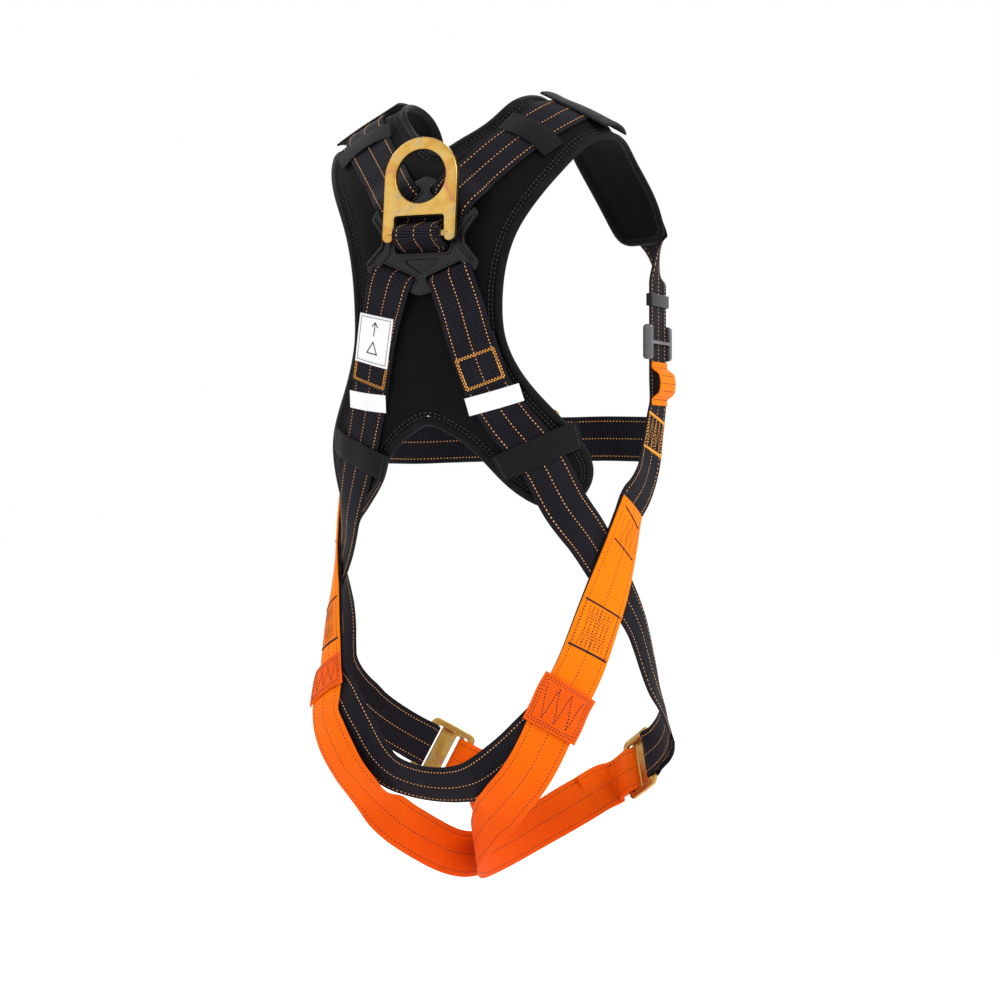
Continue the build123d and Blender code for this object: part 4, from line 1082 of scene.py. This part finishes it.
edge = EDGE + tuple((-x, y, r) for x, y, r in EDGE[::-1] if x)
outline = arc_loop([row[:2] for row in edge], [row[2] for row in edge], 8)
window = arc_loop(rect(0, 4, 56, 34), 5)
pocket = arc_loop([(-20, -19), (0, -33), (20, -19)], [1.5, 2.5, 1.5])
pocket_floor = arc_loop([(-22, -17), (0, -35), (22, -17)], 2)
places = [(slot, mirror) for slot in (UPPER_SLOT, LOWER_SLOT) for mirror in (1, -1)]
slots = [slot_loop(slot, mirror, 48, 8, 3.6) for slot, mirror in places]
parts = [slab(PLATE, outline, [window, *slots, pocket], PLATE_BACK, PLATE_TOP, 1.1, 5)]
parts.append(slab(PLATE, pocket_floor, [], PLATE_BACK + 0.2, PLATE_TOP - 1.6, 0.4))
for (slot, mirror), hole in zip(places, slots):
    lip = slot_loop(slot, mirror, 52.5, 12.5, 5.4)
    parts.append(slab(PLATE, lip, [hole], PLATE_TOP - 1, PLATE_TOP + 0.9, 0.8))
parts.append(slab(PLATE, arc_loop(rect(0, 4, 61, 39), 7), [window], PLATE_TOP - 1, PLATE_TOP + 0.9, 0.8))
for mirror in (1, -1):
    rim = arc_loop([(mirror * x, y) for x, y in RIM], 2.2, 5)
    parts.append(slab(PLATE, rim, [], PLATE_TOP - 1, PLATE_TOP + 1.1, 0.9))
    wing = arc_loop([(mirror * x, y) for x, y in WING], 0.9, 4)
    parts.append(slab(PLATE, wing, [], PLATE_BACK + 0.5, PLATE_TOP + 1.6, 0.7))
finish_piece(joined("plate", parts, 35), M_PLASTIC, nodes=["dorsal_plate"])

# ---------------------------------------------------------------- the pad
# Each half is a run of rows from the inner edge to the outer one: out, y and z of each.
PAD_ROWS = (
    (108, -211, 13, 162, -188, 12), (95, -206, 44, 159, -183, 41), (80, -190, 86, 150, -168, 76),
    (70, -160, 120, 146, -148, 94), (65, -112, 140, 147, -110, 106), (57, -66, 130, 141, -78, 100),
    (36, -42, 104, 134, -62, 92), (12, -31, 90, 128, -50, 80), (0, -24, 76, 119, -38, 64),
    (0, -10, 44, 104, -20, 40), (0, -3, 10, 86, -12, 8), (0, 0, -28, 75, -12, -28), (0, 0, -60, 72, -12, -60), (0, 0, -92, 74, -12, -92),
    (0, -2, -118, 84, -16, -118), (0, -4, -142, 99, -24, -142), (0, -6, -160, 113, -36, -160),
    (12, -9, -171, 121, -44, -171), (31, -12, -180, 127, -50, -180), (50, -15, -198, 139, -60, -198),
    (65, -22, -216, 144, -68, -216), (80, -30, -233, 138, -66, -234), (97, -42, -244, 122, -56, -248),
)
PAD_STEP = 4.5


def pad_half(side):
    rows = np.array(PAD_ROWS, float)
    middle = (rows[:, :3] + rows[:, 3:]) / 2
    length = chord(middle)
    count = round(length[-1] / PAD_STEP) + 1
    dense = read_table(np.column_stack([length, rows]), np.linspace(0, length[-1], count))
    dense[:, 0] = np.maximum(dense[:, 0], 0)
    share = np.linspace(0, 1, 27)
    inner, outer = dense[:, None, :3], dense[:, None, 3:]
    grid = inner + share[None, :, None] * (outer - inner)
    grid[..., 0] *= side
    foot, normal = on_wearer(grid.reshape(-1, 3))
    return foot.reshape(grid.shape), normal.reshape(grid.shape)


halves = {side: pad_half(side) for _, side in SIDES}
joined_rows = np.abs(halves[1][0][:, 0, 0]) < 0.6
first, last = np.nonzero(joined_rows)[0][[0, -1]]
rows_n, cols_n = halves[1][0].shape[:2]


def edge_path():
    """Grid places round a half's free edge, from the neck notch over the shoulder to the waist notch."""
    neck = [(i, 0) for i in range(first, -1, -1)]
    front = [(0, j) for j in range(1, cols_n)]
    outer = [(i, cols_n - 1) for i in range(1, rows_n)]
    lobe = [(rows_n - 1, j) for j in range(cols_n - 2, -1, -1)]
    notch = [(i, 0) for i in range(rows_n - 2, last - 1, -1)]
    return neck + front + outer + lobe + notch


def smooth_line(points, rounds):
    for _ in range(rounds):
        points = (np.roll(points, 1, 0) + 2 * points + np.roll(points, -1, 0)) / 4
    return points


path = edge_path()
border = [halves[-1][0][place] for place in path] + [halves[1][0][place] for place in path[::-1]][1:-1]
border = smooth_line(np.array(border), 10)
closed = np.vstack([border, border[:1]])
length = chord(closed)
marks = np.linspace(0, length[-1], round(length[-1] / BORDER_STEP) + 1)[:-1]
border = smooth_line(np.stack([np.interp(marks, length, closed[:, k]) for k in range(3)], 1), 4)
border_foot, border_normal = on_wearer(border)
tree = KDTree(len(border_foot))
for i, p in enumerate(border_foot):
    tree.insert(Vector(p), i)
tree.balance()


def pad_heights(reach):
    """Outer and inner height over the wearer by the distance from the pad's edge."""
    t = np.clip((reach - 6) / 16, 0, 1)
    ease = t * t * (3 - 2 * t)
    outer = PAD_RIM + ease * (PAD_T - PAD_RIM) + 0.5 * np.clip(reach / 60, 0, 1)
    inner = 2.4 - 2.0 * ease
    close = np.clip(reach / 3.0, 0, 1)
    return PAD_SEAM + (outer - PAD_SEAM) * close, PAD_SEAM + (inner - PAD_SEAM) * close


def build_pad():
    """The pad's two layers, which share the points of its edge. The halves share those of the spine."""
    verts, faces, spine = [], [], {}
    for side in (-1, 1):
        foot, normal = halves[side]
        reach = np.array([tree.find(Vector(p))[2] for p in foot.reshape(-1, 3)]).reshape(foot.shape[:2])
        rim = None
        for layer, height in enumerate(pad_heights(reach)):
            grid = np.zeros(foot.shape[:2], int)
            points = foot + height[..., None] * normal
            for i, j in np.ndindex(rows_n, cols_n):
                on_spine = j == 0 and joined_rows[i]
                on_edge = i in (0, rows_n - 1) or j == cols_n - 1 or (j == 0 and not on_spine)
                if on_spine and side == 1:
                    grid[i, j] = spine[layer, i]
                elif on_edge and layer:
                    grid[i, j] = rim[i, j]
                else:
                    grid[i, j] = len(verts)
                    verts.append(points[i, j])
                    spine[layer, i] = grid[i, 0]
            rim = grid
            quads = np.stack([grid[:-1, :-1], grid[:-1, 1:], grid[1:, 1:], grid[1:, :-1]], -1).reshape(-1, 4)
            faces += list(quads if (layer == 0) == (side > 0) else quads[:, ::-1])
    return np.array(verts), faces


pad = make_mesh("yoke_pad", *build_pad())
finish_piece(pad, M_PAD, nodes=["back_pad", "pad_lobe_right", "pad_lobe_left",
                                              "shoulder_pad_right", "shoulder_pad_left"])


def binding_tube(out):
    """The bound edge: a flattened roll that follows the border."""
    ring = []
    for a in np.radians(np.arange(0, 360, 30)):
        beyond = 0.6 + 4.4 * math.cos(a)
        ring.append(border_foot + (3.5 + 2.9 * math.sin(a)) * border_normal + beyond * out)
    n, m = len(border_foot), len(ring)
    grid = np.arange(n * m).reshape(n, m)
    quads = bands(np.vstack([grid, grid[:1]]))
    around, along = np.meshgrid(np.arange(m) * 2.0, np.arange(n) * BORDER_STEP)
    uv = np.stack([around, along], -1).reshape(-1, 2)
    return np.array(ring).transpose(1, 0, 2).reshape(-1, 3), quads, uv[quads].reshape(-1, 2) * MM


border_along = unit(np.roll(border_foot, -1, 0) - np.roll(border_foot, 1, 0))
border_out = unit(np.cross(border_along, border_normal))
finish_piece(make_mesh("pad_binding", *binding_tube(border_out)), M_BINDING)

for inset, height in ((5.6, 5.1), (9.0, 5.6)):
    line = border_foot + border_out * inset
    foot, normal = on_wearer(line)
    spots = foot + height * normal
    middle = spots + 0.68 * (np.roll(spots, -1, 0) - spots)
    thread_grey.add(spots, middle, normal, 0.9, 0.5)

thread_tracer.build("thread_tracer", M_TRACER)
thread_gold.build("thread_gold", M_GOLD)
thread_dark.build("thread_dark", M_DARK)
thread_grey.build("thread_grey", M_GREY)

# ---------------------------------------------------------------- stage
TARGET = Vector((0, -0.128, -0.241))
FLOOR_Z, FLOOR_R, FLOOR_SIDES = -0.74, 14, 96


def facing_target(name, data, azimuth, elevation, distance):
    """A camera or lamp that looks at the harness from a direction in degrees."""
    thing = bpy.data.objects.new(name, data)
    bpy.context.scene.collection.objects.link(thing)
    a, e = math.radians(azimuth), math.radians(elevation)
    way = Vector((math.sin(a) * math.cos(e), -math.cos(a) * math.cos(e), math.sin(e)))
    thing.location = TARGET + distance * way
    thing.rotation_mode = "QUATERNION"
    thing.rotation_quaternion = (TARGET - thing.location).to_track_quat("-Z", "Y")
    return thing


camera = facing_target("camera", bpy.data.cameras.new("camera"), 207, 0, 2.5)
camera.data.lens = 91.8
camera.data.sensor_width = 36
camera.data.shift_x = 0.012
camera.data.clip_end = 60
bpy.context.scene.camera = camera

floor_mesh = bpy.data.meshes.new("floor")
angles = np.linspace(0, 2 * math.pi, FLOOR_SIDES, endpoint=False)
rim = [(FLOOR_R * math.cos(a), FLOOR_R * math.sin(a), FLOOR_Z) for a in angles]
floor_mesh.from_pydata(rim, [], [tuple(range(FLOOR_SIDES))])
floor = bpy.data.objects.new("floor", floor_mesh)
bpy.context.scene.collection.objects.link(floor)
floor_mesh.materials.append(Look("floor", (1.0, 1.0, 1.0), 1.0, gloss=0.0).material)

world = bpy.data.worlds.new("studio")
world.use_nodes = True
background = world.node_tree.nodes["Background"].inputs
background["Color"].default_value = (1, 1, 1, 1)
background["Strength"].default_value = 1.0
bpy.context.scene.world = world
bpy.context.scene.view_settings.view_transform = "Standard"

for name, azimuth, elevation, distance, size, power in (
    ("key", 262, 38, 2.6, 1.2, 40), ("fill", 150, 20, 3.0, 2.0, 10), ("front", 20, 35, 3.0, 2.0, 20),
    ("rim", 90, 45, 3.0, 1.2, 22),
):
    lamp = bpy.data.lights.new(name, "AREA")
    lamp.size = size
    lamp.energy = power
    facing_target(name, lamp, azimuth, elevation, distance)

bpy.context.view_layer.update()
